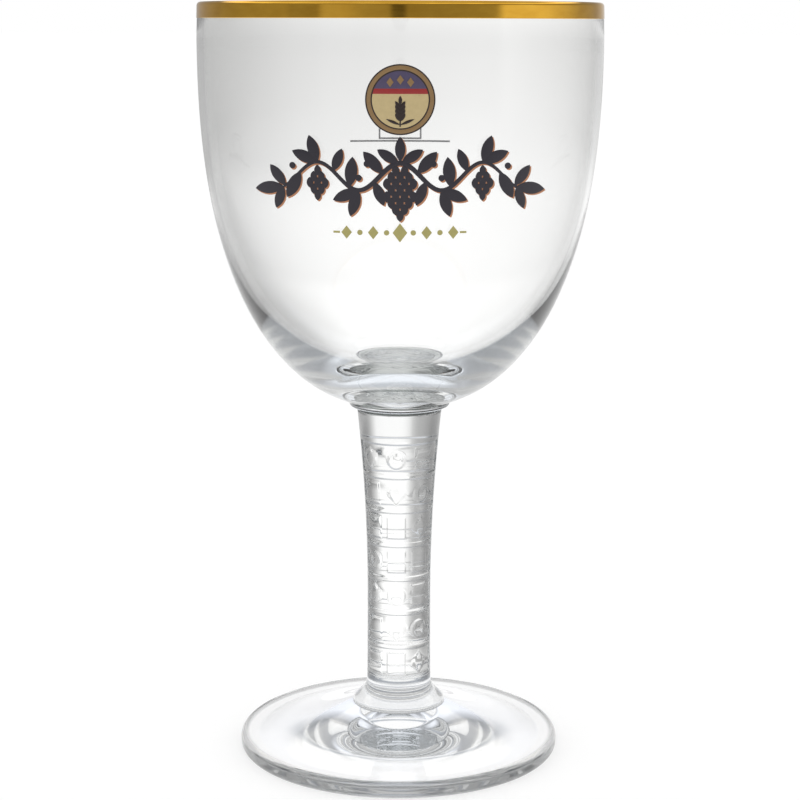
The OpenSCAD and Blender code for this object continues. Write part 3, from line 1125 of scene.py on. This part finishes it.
@dataclass
class Print:
    """One fired colour: a set of flat patches laid on the bowl and closed into thin solids.

    A patch is drawn flat, as distances to the right of and over the drawing's middle, which lies the drop
    under the lip. A colour in the second layer lies on the first.
    """

    name: str
    node: str
    slot: Slot
    shape: BowlShape
    drop: float
    layer: int = 0
    back: bool = False
    thick: float = 0.1 * MM
    sunk: float = 0.02 * MM
    edge_share: float = 0.72
    crown_share: float = 0.28
    crease: float = 50.0
    grid_step: float = 1.0 * MM
    small_r: float = 2.0 * MM
    points: list[np.ndarray] = field(default_factory=list)
    faces: list[np.ndarray] = field(default_factory=list)
    count: int = 0

    def on_bowl(self, across: np.ndarray, up: np.ndarray, off: np.ndarray) -> np.ndarray:
        """Points straight in front of a flat drawing, on the bowl or a distance off it.

        The depth is the root of the radius squared less the distance across squared.

        Args:
            across: distance from the middle of the drawing, to the right.
            up: distance over the middle of the drawing.
            off: distance off the glass.

        Returns:
            One row of x, y, z for each point.
        """
        height = self.shape.lip_z - self.drop + up
        radius = self.shape.radius_at(height) + off
        deep = -np.sqrt(np.maximum(radius**2 - across**2, 0.0))
        if self.back:
            across, deep = -across, -deep
        return np.stack([across, deep, height], axis=-1)

    def add(self, across: np.ndarray, up: np.ndarray, wrap: bool = False) -> None:
        """Adds a patch given as a grid: a crowned top, a flat bottom and the walls between them.

        The crown rises with the root of 4 v (1 - v), where v is the share of the way over the grid's rows.

        Args:
            across: grid of distances to the right.
            up: grid of distances upwards.
            wrap: whether the grid closes on itself along its second parameter.
        """
        rows, columns = across.shape
        v = np.linspace(0.0, 1.0, rows)[:, None] + 0.0 * across
        crown = np.sqrt(np.clip(4.0 * v * (1.0 - v), 0.0, 1.0))
        top = self.thick * (self.layer + self.edge_share + self.crown_share * crown)
        low = np.full_like(top, -self.sunk * (1.0 + self.layer))
        upper = self.on_bowl(across, up, top).reshape(-1, 3)
        lower = self.on_bowl(across, up, low).reshape(-1, 3)
        sheet = quads_between(rows, columns, wrap)
        size = rows * columns
        grid = np.arange(size).reshape(rows, columns)
        loops = [grid[0], grid[-1][::-1]]
        if not wrap:
            loops = [np.concatenate([grid[0], grid[1:, -1], grid[-1, -2::-1], grid[-2:0:-1, 0]])]
        after = [np.roll(loop, -1) for loop in loops]
        walls = [np.stack([a, b, b + size, a + size], axis=1) for a, b in zip(loops, after)]
        faces = np.concatenate([sheet[:, ::-1], sheet + size] + walls)
        self.points.append(np.concatenate([upper, lower]))
        self.faces.append(faces + self.count)
        self.count += 2 * size

    def add_either_way(self, across: np.ndarray, up: np.ndarray, flip: bool, shift: float = 0.0) -> None:
        """Adds a patch as it is or mirrored from side to side, with its faces outwards either way.

        Args:
            across: grid of distances to the right.
            up: grid of distances upwards.
            flip: whether it is mirrored.
            shift: distance that it is moved to the right after that.
        """
        self.add((-across if flip else across) + shift, up)
        if flip:
            self.faces[-1] = self.faces[-1][:, ::-1]

    def leaf(
        self, base: tuple[float, float], angle: float, length: float, width: float, flip: bool = False
    ) -> None:
        """Adds a leaf between two arcs, whose half width is the arc's rise over its chord.

        Args:
            base: place of its base.
            angle: direction of its tip, in degrees.
            length: its length.
            width: its greatest width.
            flip: whether it is mirrored from side to side.
        """
        radius = (length**2 + width**2) / (4.0 * width)
        along = length * (1.0 - np.cos(np.linspace(0.0, math.pi, 15))) / 2.0
        half = np.sqrt(np.maximum(radius**2 - (along - length / 2.0) ** 2, 0.0)) - (radius - width / 2.0)
        side = np.linspace(-1.0, 1.0, 7)[:, None]
        x, z = along + 0.0 * side, half * side
        turn = math.radians(angle)
        across = base[0] + x * math.cos(turn) - z * math.sin(turn)
        up = base[1] + x * math.sin(turn) + z * math.cos(turn)
        self.add_either_way(across, up, flip)

    def disc(self, middle: tuple[float, float], radius: float, hole: float = 0.0) -> None:
        """Adds a round dot, or a ring if it has a hole.

        Args:
            middle: its middle.
            radius: its radius.
            hole: radius of its hole.
        """
        around = 72 if radius > self.small_r else 24
        turn = np.linspace(0.0, 2.0 * math.pi, around, endpoint=False)[None, :]
        far = np.linspace(radius, hole, 5)[:, None]
        self.add(middle[0] + far * np.cos(turn), middle[1] + far * np.sin(turn), wrap=True)

    def lozenge(self, middle: tuple[float, float], width: float, height: float) -> None:
        """Adds a lozenge, as a grid turned onto its corner."""
        a, b = np.meshgrid(np.linspace(-0.5, 0.5, 7), np.linspace(-0.5, 0.5, 7), indexing="ij")
        self.add(middle[0] + (a - b) * width / 2.0, middle[1] + (a + b) * height / 2.0)

    def bar(self, middle: tuple[float, float], width: float, height: float) -> None:
        """Adds a flat bar, as a grid that follows the bowl.

        Args:
            middle: its middle.
            width: its width.
            height: its height.
        """
        rows, columns = (max(2, int(side / self.grid_step) + 1) for side in (height, width))
        up, across = np.meshgrid(
            np.linspace(-height / 2, height / 2, rows),
            np.linspace(-width / 2, width / 2, columns),
            indexing="ij",
        )
        self.add(middle[0] + across, middle[1] + up)

    def slice(self, radius: float, low: float, high: float) -> None:
        """Adds the part of a disc between two heights over its middle.

        At each turn over the middle the half width is the radius times the turn's cosine.

        Args:
            radius: the disc's radius.
            low: the lower height.
            high: the upper height.
        """
        low, high = max(low, -radius), min(high, radius)
        start, end = math.asin(low / radius), math.asin(high / radius)
        turn = np.linspace(start, end, 33)[:, None]
        side = np.linspace(-1.0, 1.0, 25)[None, :]
        self.add(radius * np.cos(turn) * side, radius * np.sin(turn) + 0.0 * side)

    def build(self, finishes: Finishes) -> None:
        """Joins the patches into one piece and dresses it.

        Args:
            finishes: the shared finishes.
        """
        piece = make_piece(self.name, np.concatenate(self.points), np.concatenate(self.faces), self.crease)
        piece.data.materials.append(finishes.ink(self.slot))
        settle(piece, self.slot, self.node)


@dataclass
class Medallion:
    """The round medallion: keyline, frame, three fields, lozenges and a barley ear."""

    shape: BowlShape
    radius: float = 7.4 * MM
    drop: float = 20.4 * MM
    keyline: float = 0.3 * MM
    frame: float = 0.85 * MM
    band_h: float = 1.1 * MM
    band_rise: float = 1.2 * MM

    pip_share: float = 0.25
    pip_pitch_share: float = 1.45
    pip_h_share: float = 1.35
    ear_share: float = 0.9
    ear_low_share: float = 0.05
    grain_l_share: float = 1.0 / 3.4
    grain_w_share: float = 1.0 / 8.2
    grain_lean: float = 34.0
    first_grain_share: float = 0.18
    grain_pitch_share: float = 0.135
    grain_pairs: int = 4
    blade_l_share: float = 0.5
    blade_w_share: float = 0.75
    blade_low_share: float = 0.06
    blade_lean: float = 68.0

    def layer(self, node: str, slot: Slot, layer: int = 0) -> Print:
        """Starts one colour of the medallion."""
        return Print(node + "_print", node, slot, self.shape, self.drop, layer)

    def build(self, finishes: Finishes) -> None:
        """Builds every colour of the medallion.

        Args:
            finishes: the shared finishes.
        """
        middle = (0.0, 0.0)
        frame_r = self.radius - self.keyline
        field_r = frame_r - self.frame - self.keyline
        lines = self.layer("medallion_keyline", Slot.DARK)
        lines.disc(middle, self.radius, frame_r)
        lines.disc(middle, field_r + self.keyline, field_r)
        lines.build(finishes)
        border = self.layer("medallion_border", Slot.BRONZE)
        border.disc(middle, frame_r, frame_r - self.frame)
        border.build(finishes)
        band_top = self.band_rise + self.band_h
        for node, slot, low, high in (
            ("medallion_upper_field", Slot.SLATE, band_top, field_r),
            ("medallion_band", Slot.RED, self.band_rise, band_top),
            ("medallion_lower_field", Slot.SAND, -field_r, self.band_rise),
        ):
            part = self.layer(node, slot)
            part.slice(field_r, low, high)
            part.build(finishes)
        self.pips(field_r, band_top).build(finishes)
        self.ear(field_r).build(finishes)

    def pips(self, field_r: float, band_top: float) -> Print:
        """Draws three lozenges side by side on the upper field, the outer two a little lower.

        Args:
            field_r: radius of the fields.
            band_top: height of the band's upper edge.

        Returns:
            The print.
        """
        pips = self.layer("medallion_pips", Slot.BRONZE, 1)
        width = field_r * self.pip_share
        rise = (band_top + field_r) / 2.0
        for i in (-1, 0, 1):
            place = (i * self.pip_pitch_share * width, rise - abs(i) * width / 3.0)
            pips.lozenge(place, width, self.pip_h_share * width)
        return pips

    def ear(self, field_r: float) -> Print:
        """Draws a barley ear: a stalk with two long leaves, pairs of grains and one grain on top.

        Args:
            field_r: radius of the fields.

        Returns:
            The print.
        """
        ear = self.layer("medallion_sprig", Slot.DARK, 1)
        tall = self.ear_share * (field_r + self.band_rise)
        length, width = tall * self.grain_l_share, tall * self.grain_w_share
        blade_l, blade_w = tall * self.blade_l_share, width * self.blade_w_share
        low = self.ear_low_share * tall - field_r
        ear.bar((0.0, low + (tall - length / 2.0) / 2.0), self.keyline, tall - length / 2.0)
        for side in (-1, 1):
            blade = (0.0, low + self.blade_low_share * tall)
            ear.leaf(blade, 90.0 + side * self.blade_lean, blade_l, blade_w)
            for i in range(self.grain_pairs):
                rise = tall * (self.first_grain_share + self.grain_pitch_share * i)
                ear.leaf((0.0, low + rise), 90.0 + side * self.grain_lean, length, width)
        ear.leaf((0.0, low + tall - length), 90.0, length, width)
        return ear


@dataclass(frozen=True)
class Cone:
    """A hanging hop cone, in shares of the frieze's height: rows of scales, and the size of a scale."""

    rows: tuple[int, ...]
    long: float
    wide: float
    low: float


@dataclass
class Frieze:
    """The leafy frieze: a winding stalk to each side, leaves, berries and hanging hop cones.

    A leaf has its place in half waves from the middle, its direction in degrees and its share of a whole
    leaf. A berry has its place and its rise over the stalk, as a share of the frieze's height.
    """

    shape: BowlShape
    width: float = 58.0 * MM
    height: float = 15.4 * MM
    drop: float = 36.6 * MM
    stalk_w: float = 1.1 * MM
    copper_shift: float = 0.3 * MM
    waves: float = 2.85
    step_share: float = 0.152
    wave_share: float = 0.19
    leaf_l_share: float = 0.42
    leaf_w_share: float = 0.175
    berry_share: float = 0.045
    taper_share: float = 0.45
    crest_share: float = 0.82
    crest_lean: float = 32.0
    leaf_shares: tuple[tuple[float, float, float], ...] = (
        (0.42, 48, 0.95), (0.62, -112, 0.85), (1, -72, 0.92), (1, -22, 0.92), (1.22, 96, 1),
        (1.62, 112, 0.8), (2, 72, 0.92), (2, 22, 0.92), (2.42, -62, 1), (2.85, -8, 1),
        (2.8, 52, 0.85), (2.85, -70, 0.8),
    )
    berry_shares: Levels = ((1, 0.17), (0.8, 0.33), (2.62, 0.2))
    large_cone: Cone = Cone((2, 3, 4, 3, 4, 3, 2, 1), long=0.155, wide=0.104, low=0.03)
    small_cone: Cone = Cone((1, 2, 3, 2, 1), long=0.15, wide=0.092, low=0.04)
    small_cone_place: float = 2.0
    scale_pitch_share: float = 1.18
    scale_drop_share: float = 0.58

    def __post_init__(self) -> None:
        """Works out the wave and the leaf from the frieze's size."""
        self.step = self.width * self.step_share
        self.wave = self.height * self.wave_share
        self.leaf_l = self.height * self.leaf_l_share
        self.leaf_w = self.height * self.leaf_w_share

    def at(self, u: float) -> tuple[float, float]:
        """Point of the stalk at a number of half waves from the middle."""
        return u * self.step, self.wave * math.cos(math.pi * u)

    def stalk(self, layer: Print, shift: tuple[float, float], flip: bool) -> None:
        """Adds the tapering stalk, whose height is the cosine of its half waves from the middle.

        Each side stands off the wave by the half width, square to the wave's own direction.

        Args:
            layer: the print that it is drawn on.
            shift: how far it is moved, to the right and up.
            flip: whether it goes to the left.
        """
        u = np.linspace(0.0, self.waves, 97)
        x, z = u * self.step, self.wave * np.cos(math.pi * u)
        dx, dz = np.full_like(u, self.step), -math.pi * self.wave * np.sin(math.pi * u)
        length = np.hypot(dx, dz)
        half = self.stalk_w / 2.0 * (1.0 - self.taper_share * u / self.waves)
        side = np.linspace(-1.0, 1.0, 5)[:, None]
        across, up = x - dz / length * half * side, z + dx / length * half * side
        layer.add_either_way(across, up + shift[1], flip, shift[0])

    def cone(self, layer: Print, middle: tuple[float, float], kind: Cone) -> None:
        """Adds a hop cone: rows of hanging scales that interlock like diamonds.

        Args:
            layer: the print that it is drawn on.
            middle: place on the stalk that it hangs from.
            kind: its rows and the size of its scales.
        """
        long, wide = self.height * kind.long, self.height * kind.wide
        top = middle[1] - self.height * kind.low
        for j, count in enumerate(kind.rows):
            for i in range(count):
                x = middle[0] + (i - (count - 1) / 2.0) * wide * self.scale_pitch_share
                layer.leaf((x, top - j * long * self.scale_drop_share), -90.0, long, wide)

    def half(self, layer: Print, shift: tuple[float, float], flip: bool) -> None:
        """Draws one half of the frieze, from the middle outwards.

        Args:
            layer: the print that it is drawn on.
            shift: how far it is moved, to the right and up.
            flip: whether it is the left half.
        """
        mirror = -1.0 if flip else 1.0
        inner = mirror * shift[0]
        crest_l, crest_w = self.leaf_l * self.crest_share, self.leaf_w * self.crest_share
        self.stalk(layer, shift, flip)
        for u, angle, share in self.leaf_shares:
            x, z = self.at(u)
            layer.leaf((x + inner, z + shift[1]), angle, self.leaf_l * share, self.leaf_w * share, flip)
        for u, rise in self.berry_shares:
            x, z = self.at(u)
            place = (mirror * x + shift[0], z + self.height * rise + shift[1])
            layer.disc(place, self.height * self.berry_share)
        base = (self.stalk_w / 3.0 + inner, self.wave + shift[1])
        layer.leaf(base, self.crest_lean, crest_l, crest_w, flip)
        x, z = self.at(self.small_cone_place)
        self.cone(layer, (mirror * x + shift[0], z + shift[1]), self.small_cone)

    def draw(self, layer: Print, shift: tuple[float, float]) -> None:
        """Draws the whole frieze on a layer.

        Args:
            layer: the print that it is drawn on.
            shift: how far it is moved, to the right and up.
        """
        for flip in (False, True):
            self.half(layer, shift, flip)
        base = (shift[0], self.wave + self.stalk_w / 4.0 + shift[1])
        layer.leaf(base, 90.0, self.leaf_l * self.crest_share, self.leaf_w * self.crest_share)
        self.cone(layer, (shift[0], self.wave + shift[1]), self.large_cone)

    def build(self, finishes: Finishes) -> None:
        """Builds the copper underprint and the dark print over it.

        Args:
            finishes: the shared finishes.
        """
        copper = Print("frieze_copper_print", "frieze_copper", Slot.COPPER, self.shape, self.drop)
        self.draw(copper, (self.copper_shift, -self.copper_shift))
        copper.build(finishes)
        ink = Print("frieze_leaf_print", "frieze_leaves", Slot.INK, self.shape, self.drop, 1)
        self.draw(ink, (0.0, 0.0))
        ink.build(finishes)


@dataclass
class LowerRow:
    """The row under the frieze: lozenges and dots by turns from a large lozenge, and a dash at each end."""

    shape: BowlShape
    width: float = 28.6 * MM
    height: float = 4.2 * MM
    drop: float = 48.7 * MM
    places: int = 4
    middle_share: float = 1.1
    lozenge_share: float = 0.8
    lozenge_h_share: float = 0.7
    dot_share: float = 0.14
    dash_share: float = 0.5
    dash_h_share: float = 1.0 / 9.0
    dash_place: float = 0.75

    def build(self, finishes: Finishes) -> None:
        """Builds the row.

        Args:
            finishes: the shared finishes.
        """
        pitch, tall = self.width / (2 * self.places + 2), self.height
        row = Print("lower_row_print", "lower_ornament", Slot.KHAKI, self.shape, self.drop)
        row.lozenge((0.0, 0.0), pitch * self.middle_share, tall)
        for side in (-1, 1):
            for i in range(1, self.places + 1):
                place = (side * i * pitch, 0.0)
                if i % 2 == 0:
                    row.lozenge(place, pitch * self.lozenge_share, tall * self.lozenge_h_share)
                else:
                    row.disc(place, tall * self.dot_share)
            end = (side * (self.places + self.dash_place) * pitch, 0.0)
            row.bar(end, pitch * self.dash_share, tall * self.dash_h_share)
        row.build(finishes)


@dataclass
class LevelMark:
    """The mark on the back: a level line with an empty frame on it."""

    shape: BowlShape
    width: float = 26.0 * MM
    line: float = 0.45 * MM
    frame_h: float = 4.4 * MM
    frame_w: float = 11.2 * MM
    drop: float = 34.0 * MM

    def build(self, finishes: Finishes) -> None:
        """Builds the mark.

        Args:
            finishes: the shared finishes.
        """
        mark = Print("fill_mark_print", "fill_mark", Slot.GREY, self.shape, self.drop, back=True)
        line, tall, wide = self.line, self.frame_h, self.frame_w
        mark.bar((0.0, 0.0), self.width, line)
        for up in (line + line / 2.0, line + tall - line / 2.0):
            mark.bar((0.0, up), wide, line)
        for side in (-1, 1):
            mark.bar((side * (wide - line) / 2.0, line + tall / 2.0), line, tall - 2.0 * line)
        mark.build(finishes)


# The studio


@dataclass
class Studio:
    """Pale floor, soft light from a painted surround, and the camera at the photograph's angle.

    The camera sees white everywhere. Gold and glass mirror a room with soft panels under a bright ring of
    ceiling. Through the glass shows a pale surround: a white plate with a soft shade under the foot, then
    rings of floor named low, near and sweep, the backdrop at the horizon, and over it a sky that goes by
    its rise, one for the front sector and one for the sides.

    Each list of the surround holds places and levels. A place is an angle in degrees to the right of +Y,
    or for a sky and the ceiling the rise, from 0 at the horizon to 1 overhead. Distances are from the axis.
    """

    eye: tuple[float, float, float] = (-0.1 * MM, -470.4 * MM, 174.6 * MM)
    pitch: float = 10.70
    roll: float = -0.15
    lens: float = 90.0
    sensor: float = 36.0
    clip: tuple[float, float] = (0.01, 100.0)
    floor_half: float = 30.0
    floor_grey: float = 0.5
    floor_glow: float = 0.52
    under_grey: float = 0.15
    under_glow: float = 0.88
    plate: Colour = (1.1, 1.1, 1.1, 1.0)
    plate_edge: tuple[float, float] = (50.0 * MM, 90.0 * MM)
    shade_at: tuple[float, float] = (0.0, 1.0 * MM)
    shade_size: tuple[float, float] = (27.5 * MM, 12.0 * MM)
    shade_edge: tuple[float, float] = (0.68, 1.05)
    shade_hole: tuple[float, float] = (7.0 * MM, 9.0 * MM)
    shade_colour: Colour = (0.5, 0.53, 0.58, 1.0)
    low_edge: tuple[float, float] = (0.42, 0.55)
    near_edge: tuple[float, float] = (1.0, 2.2)
    sweep_end: float = 2.0
    room_edge: tuple[float, float] = (0.7, 1.5)
    sky_edge: tuple[float, float] = (0.06, 0.14)
    sky_tint: Colour = (0.965, 1.0, 1.07, 1.0)
    front_middle: float = 3.6
    front_edge: tuple[float, float] = (32.4, 46.8)
    ceiling_edge: tuple[float, float] = (0.08, 0.3)
    low: Levels = (
        (-180, 1.04), (-150, 1.0), (-120, 0.8), (-90, 0.6), (-72, 0.42), (-40, 0.42), (-30, 0.5),
        (-21, 0.42), (-17, 0.5), (-12.9, 0.68), (-10.4, 0.86), (-7.8, 1.0), (-5, 1.1), (22, 1.1),
        (33, 0.75), (45, 0.42), (60, 0.42), (80, 0.6), (120, 0.8), (150, 1.0), (180, 1.04),
    )
    near: Levels = (
        (-180, 0.95), (-150, 0.9), (-110, 0.7), (-90, 0.65), (-70, 0.45), (-40, 0.42), (-21, 0.45),
        (-17, 0.5), (-12.9, 0.62), (-10.4, 0.82), (-7.8, 0.92), (-5, 1.0), (-2, 1.04), (25, 1.04),
        (36, 0.6), (48, 0.42), (70, 0.45), (90, 0.65), (110, 0.7), (150, 0.9), (180, 0.95),
    )
    sweep: Levels = (
        (-180, 1.0), (-150, 0.9), (-90, 0.7), (-45, 0.5), (-19, 0.62), (-12.8, 0.59), (-10, 0.62),
        (-8.5, 0.67), (-6.7, 0.76), (-5.4, 0.82), (-3.8, 0.88), (-2.5, 0.92), (0, 0.95), (2.5, 1.0),
        (10, 0.96), (19, 0.98), (45, 0.7), (90, 0.7), (150, 0.9), (180, 1.0),
    )
    backdrop: Levels = (
        (-180, 0.95), (-150, 0.85), (-90, 0.65), (-45, 0.5), (-18, 0.52), (-10.4, 0.59), (-7.4, 0.6),
        (-5.9, 0.635), (-4.7, 0.7), (-3.4, 0.74), (-2.2, 0.74), (0, 0.78), (2.2, 0.82), (3.4, 0.85),
        (4.7, 0.85), (5.9, 0.79), (8.6, 0.79), (13, 0.8), (18, 0.7), (45, 0.65), (90, 0.65),
        (150, 0.85), (180, 0.95),
    )
    side_sky: Levels = (
        (0.14, 0.42), (0.3, 0.4), (0.5, 0.5), (0.62, 0.5), (0.7, 0.48), (0.78, 0.95), (1.0, 1.0),
    )
    front_sky: Levels = (
        (0.2, 0.72), (0.27, 0.85), (0.36, 1.2), (0.52, 1.25), (0.58, 0.9), (0.64, 0.5), (0.7, 0.48),
        (0.78, 0.95), (1.0, 1.0),
    )
    room: Levels = (
        (-180, 0.14), (-176, 0.14), (-174, 0.42), (-160, 0.45), (-150, 0.62), (-137, 0.6), (-134, 0.36),
        (-118, 0.36), (-114, 0.44), (-60, 0.38), (-34, 0.42), (-12, 0.45), (-6, 0.8), (6, 0.9), (14, 0.7),
        (40, 0.42), (60, 0.5), (77, 0.78), (95, 1.05), (121, 1.05), (126, 0.42), (160, 0.36), (176, 0.36),
        (178, 0.14), (180, 0.14),
    )
    ceiling: tuple[tuple[float, float | Colour], ...] = (
        (0.3, 0.35), (0.45, 0.4), (0.52, (1.7, 1.66, 1.52, 1.0)), (0.6, (1.7, 1.66, 1.55, 1.0)),
        (0.7, 0.7), (1.0, 0.75),
    )

    def camera(self) -> None:
        """Places the camera level with the lip, tilted down at the glass."""
        data = bpy.data.cameras.new("camera")
        data.lens, data.sensor_width = self.lens, self.sensor
        data.clip_start, data.clip_end = self.clip
        camera = bpy.data.objects.new("camera", data)
        camera.location = self.eye
        camera.rotation_mode = "XYZ"
        camera.rotation_euler = (math.radians(90.0 - self.pitch), math.radians(self.roll), 0.0)
        bpy.context.scene.collection.objects.link(camera)
        bpy.context.scene.camera = camera

    def turned(self, bench: Bench, split: bpy.types.Node) -> Socket:
        """Angle to the right of +Y of a point or direction, as 0 to 1 with +Y at 0.5.

        Args:
            bench: the tree to add the nodes to.
            split: the node that gives its three axes.

        Returns:
            The angle.
        """
        angle = bench.math("ARCTAN2", split.outputs["X"], split.outputs["Y"])
        return bench.math("MULTIPLY_ADD", angle, 0.5 / math.pi, 0.5)

    def round_ramp(self, bench: Bench, turn: Socket, levels: Levels) -> Socket:
        """Grey levels round the horizon, from angles and levels."""
        return bench.ramp(turn, [((angle + 180.0) / 360.0, level) for angle, level in levels])

    def sight(self, bench: Bench) -> tuple[Socket, Socket]:
        """Tells a view through glass and a mirrored view, neither spread by a matt surface, from the rest.

        Args:
            bench: the tree to add the nodes to.

        Returns:
            A socket that is 1 for a view through glass, and one that is 1 for a mirrored view.
        """
        path = bench.node("ShaderNodeLightPath")
        clear = bench.math("LESS_THAN", path.outputs["Diffuse Depth"], 0.5)
        through = bench.math("MULTIPLY", path.outputs["Is Transmission Ray"], clear)
        gloss = bench.math("MULTIPLY", path.outputs["Is Glossy Ray"], clear)
        return through, bench.math("MULTIPLY", gloss, bench.math("SUBTRACT", 1.0, through))

    def foot_shade(self, bench: Bench, split: bpy.types.Node, far: Socket) -> Socket:
        """Soft shade round the axis on the floor under the foot.

        The shade is 1 inside an ellipse round the axis and eases to 0 at its edge and close to the axis.

        Args:
            bench: the floor's tree.
            split: the node that gives the place's three axes.
            far: distance from the axis.

        Returns:
            A socket that is 1 where the shade is full.
        """
        squares = []
        for axis, middle, size in zip("XY", self.shade_at, self.shade_size):
            off = bench.math("SUBTRACT", split.outputs[axis], middle)
            squares.append(bench.math("POWER", bench.math("DIVIDE", off, size), 2.0))
        edge = bench.math("SQRT", bench.math("ADD", *squares))
        inside = bench.math("SUBTRACT", 1.0, bench.fade(edge, *self.shade_edge))
        return bench.math("MULTIPLY", inside, bench.fade(far, *self.shade_hole))

    def floor_through_glass(self, bench: Bench, split: bpy.types.Node, turn: Socket, far: Socket) -> Socket:
        """Colour of the floor as the glass shows it: the plate and its shade, and the rings round them.

        Args:
            bench: the floor's tree.
            split: the node that gives the place's three axes.
            turn: the place's angle, as 0 to 1.
            far: its distance from the axis.

        Returns:
            The colour.
        """
        closeness = bench.math("MINIMUM", bench.math("DIVIDE", self.sweep_end, far), 1.0)
        rings = (self.backdrop, self.sweep, self.near, self.low)
        backdrop, sweep, near, low = (self.round_ramp(bench, turn, levels) for levels in rings)
        shown = bench.mix(closeness, backdrop, sweep)
        shown = bench.mix(bench.fade(far, *self.near_edge), near, shown)
        shown = bench.mix(bench.fade(far, *self.low_edge), low, shown)
        plate = bench.mix(self.foot_shade(bench, split, far), self.plate, self.shade_colour)
        return bench.mix(bench.fade(far, *self.plate_edge), plate, shown)

    def floor(self) -> None:
        """Lays the pale floor: lit by the studio, with a glow of its own that keeps the shadow.

        Seen through glass, the floor is less lit and glows more.
        """
        half = self.floor_half
        corners = [(-half, -half, 0.0), (half, -half, 0.0), (half, half, 0.0), (-half, half, 0.0)]
        mesh = bpy.data.meshes.new("floor")
        mesh.from_pydata(corners, [], [(0, 1, 2, 3)])
        floor = bpy.data.objects.new("floor", mesh)
        bpy.context.scene.collection.objects.link(floor)
        bench = Bench("floor_paper")
        place = bench.node("ShaderNodeTexCoord").outputs["Object"]
        split = bench.node("ShaderNodeSeparateXYZ", Vector=place)
        turn, far = self.turned(bench, split), bench.length(place)
        through, mirrored = self.sight(bench)
        roomy = bench.math("MULTIPLY", bench.fade(far, *self.room_edge), mirrored)
        shown = bench.mix(roomy, WHITE, self.round_ramp(bench, turn, self.room))
        shown = bench.mix(through, shown, self.floor_through_glass(bench, split, turn, far))
        lit = bench.math("MULTIPLY_ADD", through, self.under_grey - self.floor_grey, self.floor_grey)
        glowing = bench.math("MULTIPLY_ADD", through, self.under_glow - self.floor_glow, self.floor_glow)
        grey = bench.node("ShaderNodeCombineXYZ", X=lit, Y=lit, Z=lit).outputs[0]
        paper = bench.node("ShaderNodeBsdfDiffuse", Color=bench.mix(1.0, shown, grey, "MULTIPLY"))
        glow = bench.node("ShaderNodeEmission", Color=shown, Strength=glowing)
        both = bench.node("ShaderNodeAddShader")
        bench.tree.links.new(paper.outputs[0], both.inputs[0])
        bench.tree.links.new(glow.outputs[0], both.inputs[1])
        mesh.materials.append(bench.surface(both.outputs[0]))

    def sky_through_glass(self, bench: Bench, turn: Socket, rise: Socket) -> Socket:
        """Colour of the surround as the glass shows it: the backdrop, and over it the tinted skies.

        Args:
            bench: the world's tree.
            turn: the direction's angle, as 0 to 1.
            rise: the direction's rise.

        Returns:
            The colour.
        """
        middle = (self.front_middle + 180.0) / 360.0
        aside = bench.math("ABSOLUTE", bench.math("SUBTRACT", turn, middle))
        side = bench.fade(aside, *(angle / 360.0 for angle in self.front_edge))
        sky = bench.mix(side, bench.ramp(rise, self.front_sky), bench.ramp(rise, self.side_sky))
        sky = bench.mix(1.0, sky, self.sky_tint, "MULTIPLY")
        backdrop = self.round_ramp(bench, turn, self.backdrop)
        return bench.mix(self.share(bench, rise, self.sky_edge), backdrop, sky)

    def share(self, bench: Bench, value: Socket, edge: tuple[float, float]) -> Socket:
        """A straight share from 0 to 1 between two values."""
        return bench.ramp(value, [(edge[0], 0.0), (edge[1], 1.0)])

    def world(self) -> None:
        """Paints the surround: white for the camera and for matt surfaces, a backdrop and a room."""
        world = bpy.data.worlds.new("studio")
        world.use_nodes = True
        bench = Bench.on_tree(world.node_tree, "ShaderNodeOutputWorld")
        direction = bench.node("ShaderNodeTexCoord").outputs["Generated"]
        split = bench.node("ShaderNodeSeparateXYZ", Vector=direction)
        turn, rise = self.turned(bench, split), split.outputs["Z"]
        through, mirrored = self.sight(bench)
        room, ceiling = self.round_ramp(bench, turn, self.room), bench.ramp(rise, self.ceiling)
        around = bench.mix(self.share(bench, rise, self.ceiling_edge), room, ceiling)
        shown = bench.mix(mirrored, WHITE, around)
        shown = bench.mix(through, shown, self.sky_through_glass(bench, turn, rise))
        shown = bench.mix(bench.node("ShaderNodeLightPath").outputs["Is Camera Ray"], shown, WHITE)
        background = bench.node("ShaderNodeBackground", Color=shown, Strength=1.0)
        bench.tree.links.new(background.outputs[0], bench.output.inputs["Surface"])
        bpy.context.scene.world = world

    def build(self) -> None:
        """Builds the studio and sets the view, with enough bounces for light inside the glass."""
        self.camera()
        self.floor()
        self.world()
        scene = bpy.context.scene
        scene.view_settings.view_transform = "Standard"
        scene.cycles.max_bounces = 32
        scene.cycles.transmission_bounces = 32
        scene.cycles.glossy_bounces = 16
        scene.cycles.transparent_max_bounces = 48
        scene.cycles.blur_glossy = 0.0


def main() -> None:
    """Builds the studio, the glass and its prints, in that order."""
    logging.basicConfig(level=logging.INFO, format="%(name)s %(message)s")
    finishes = Finishes()
    Studio().build()
    shape = BowlShape()
    Bowl(shape).build(finishes)
    Collar().build(finishes, shape.seat_r)
    stem = Stem()
    stem.build(finishes)
    Foot().build(finishes, stem.foot_r)
    Gilding(shape).build(finishes)
    Medallion(shape).build(finishes)
    Frieze(shape).build(finishes)
    LowerRow(shape).build(finishes)
    LevelMark(shape).build(finishes)


if __name__ == "__main__":
    main()
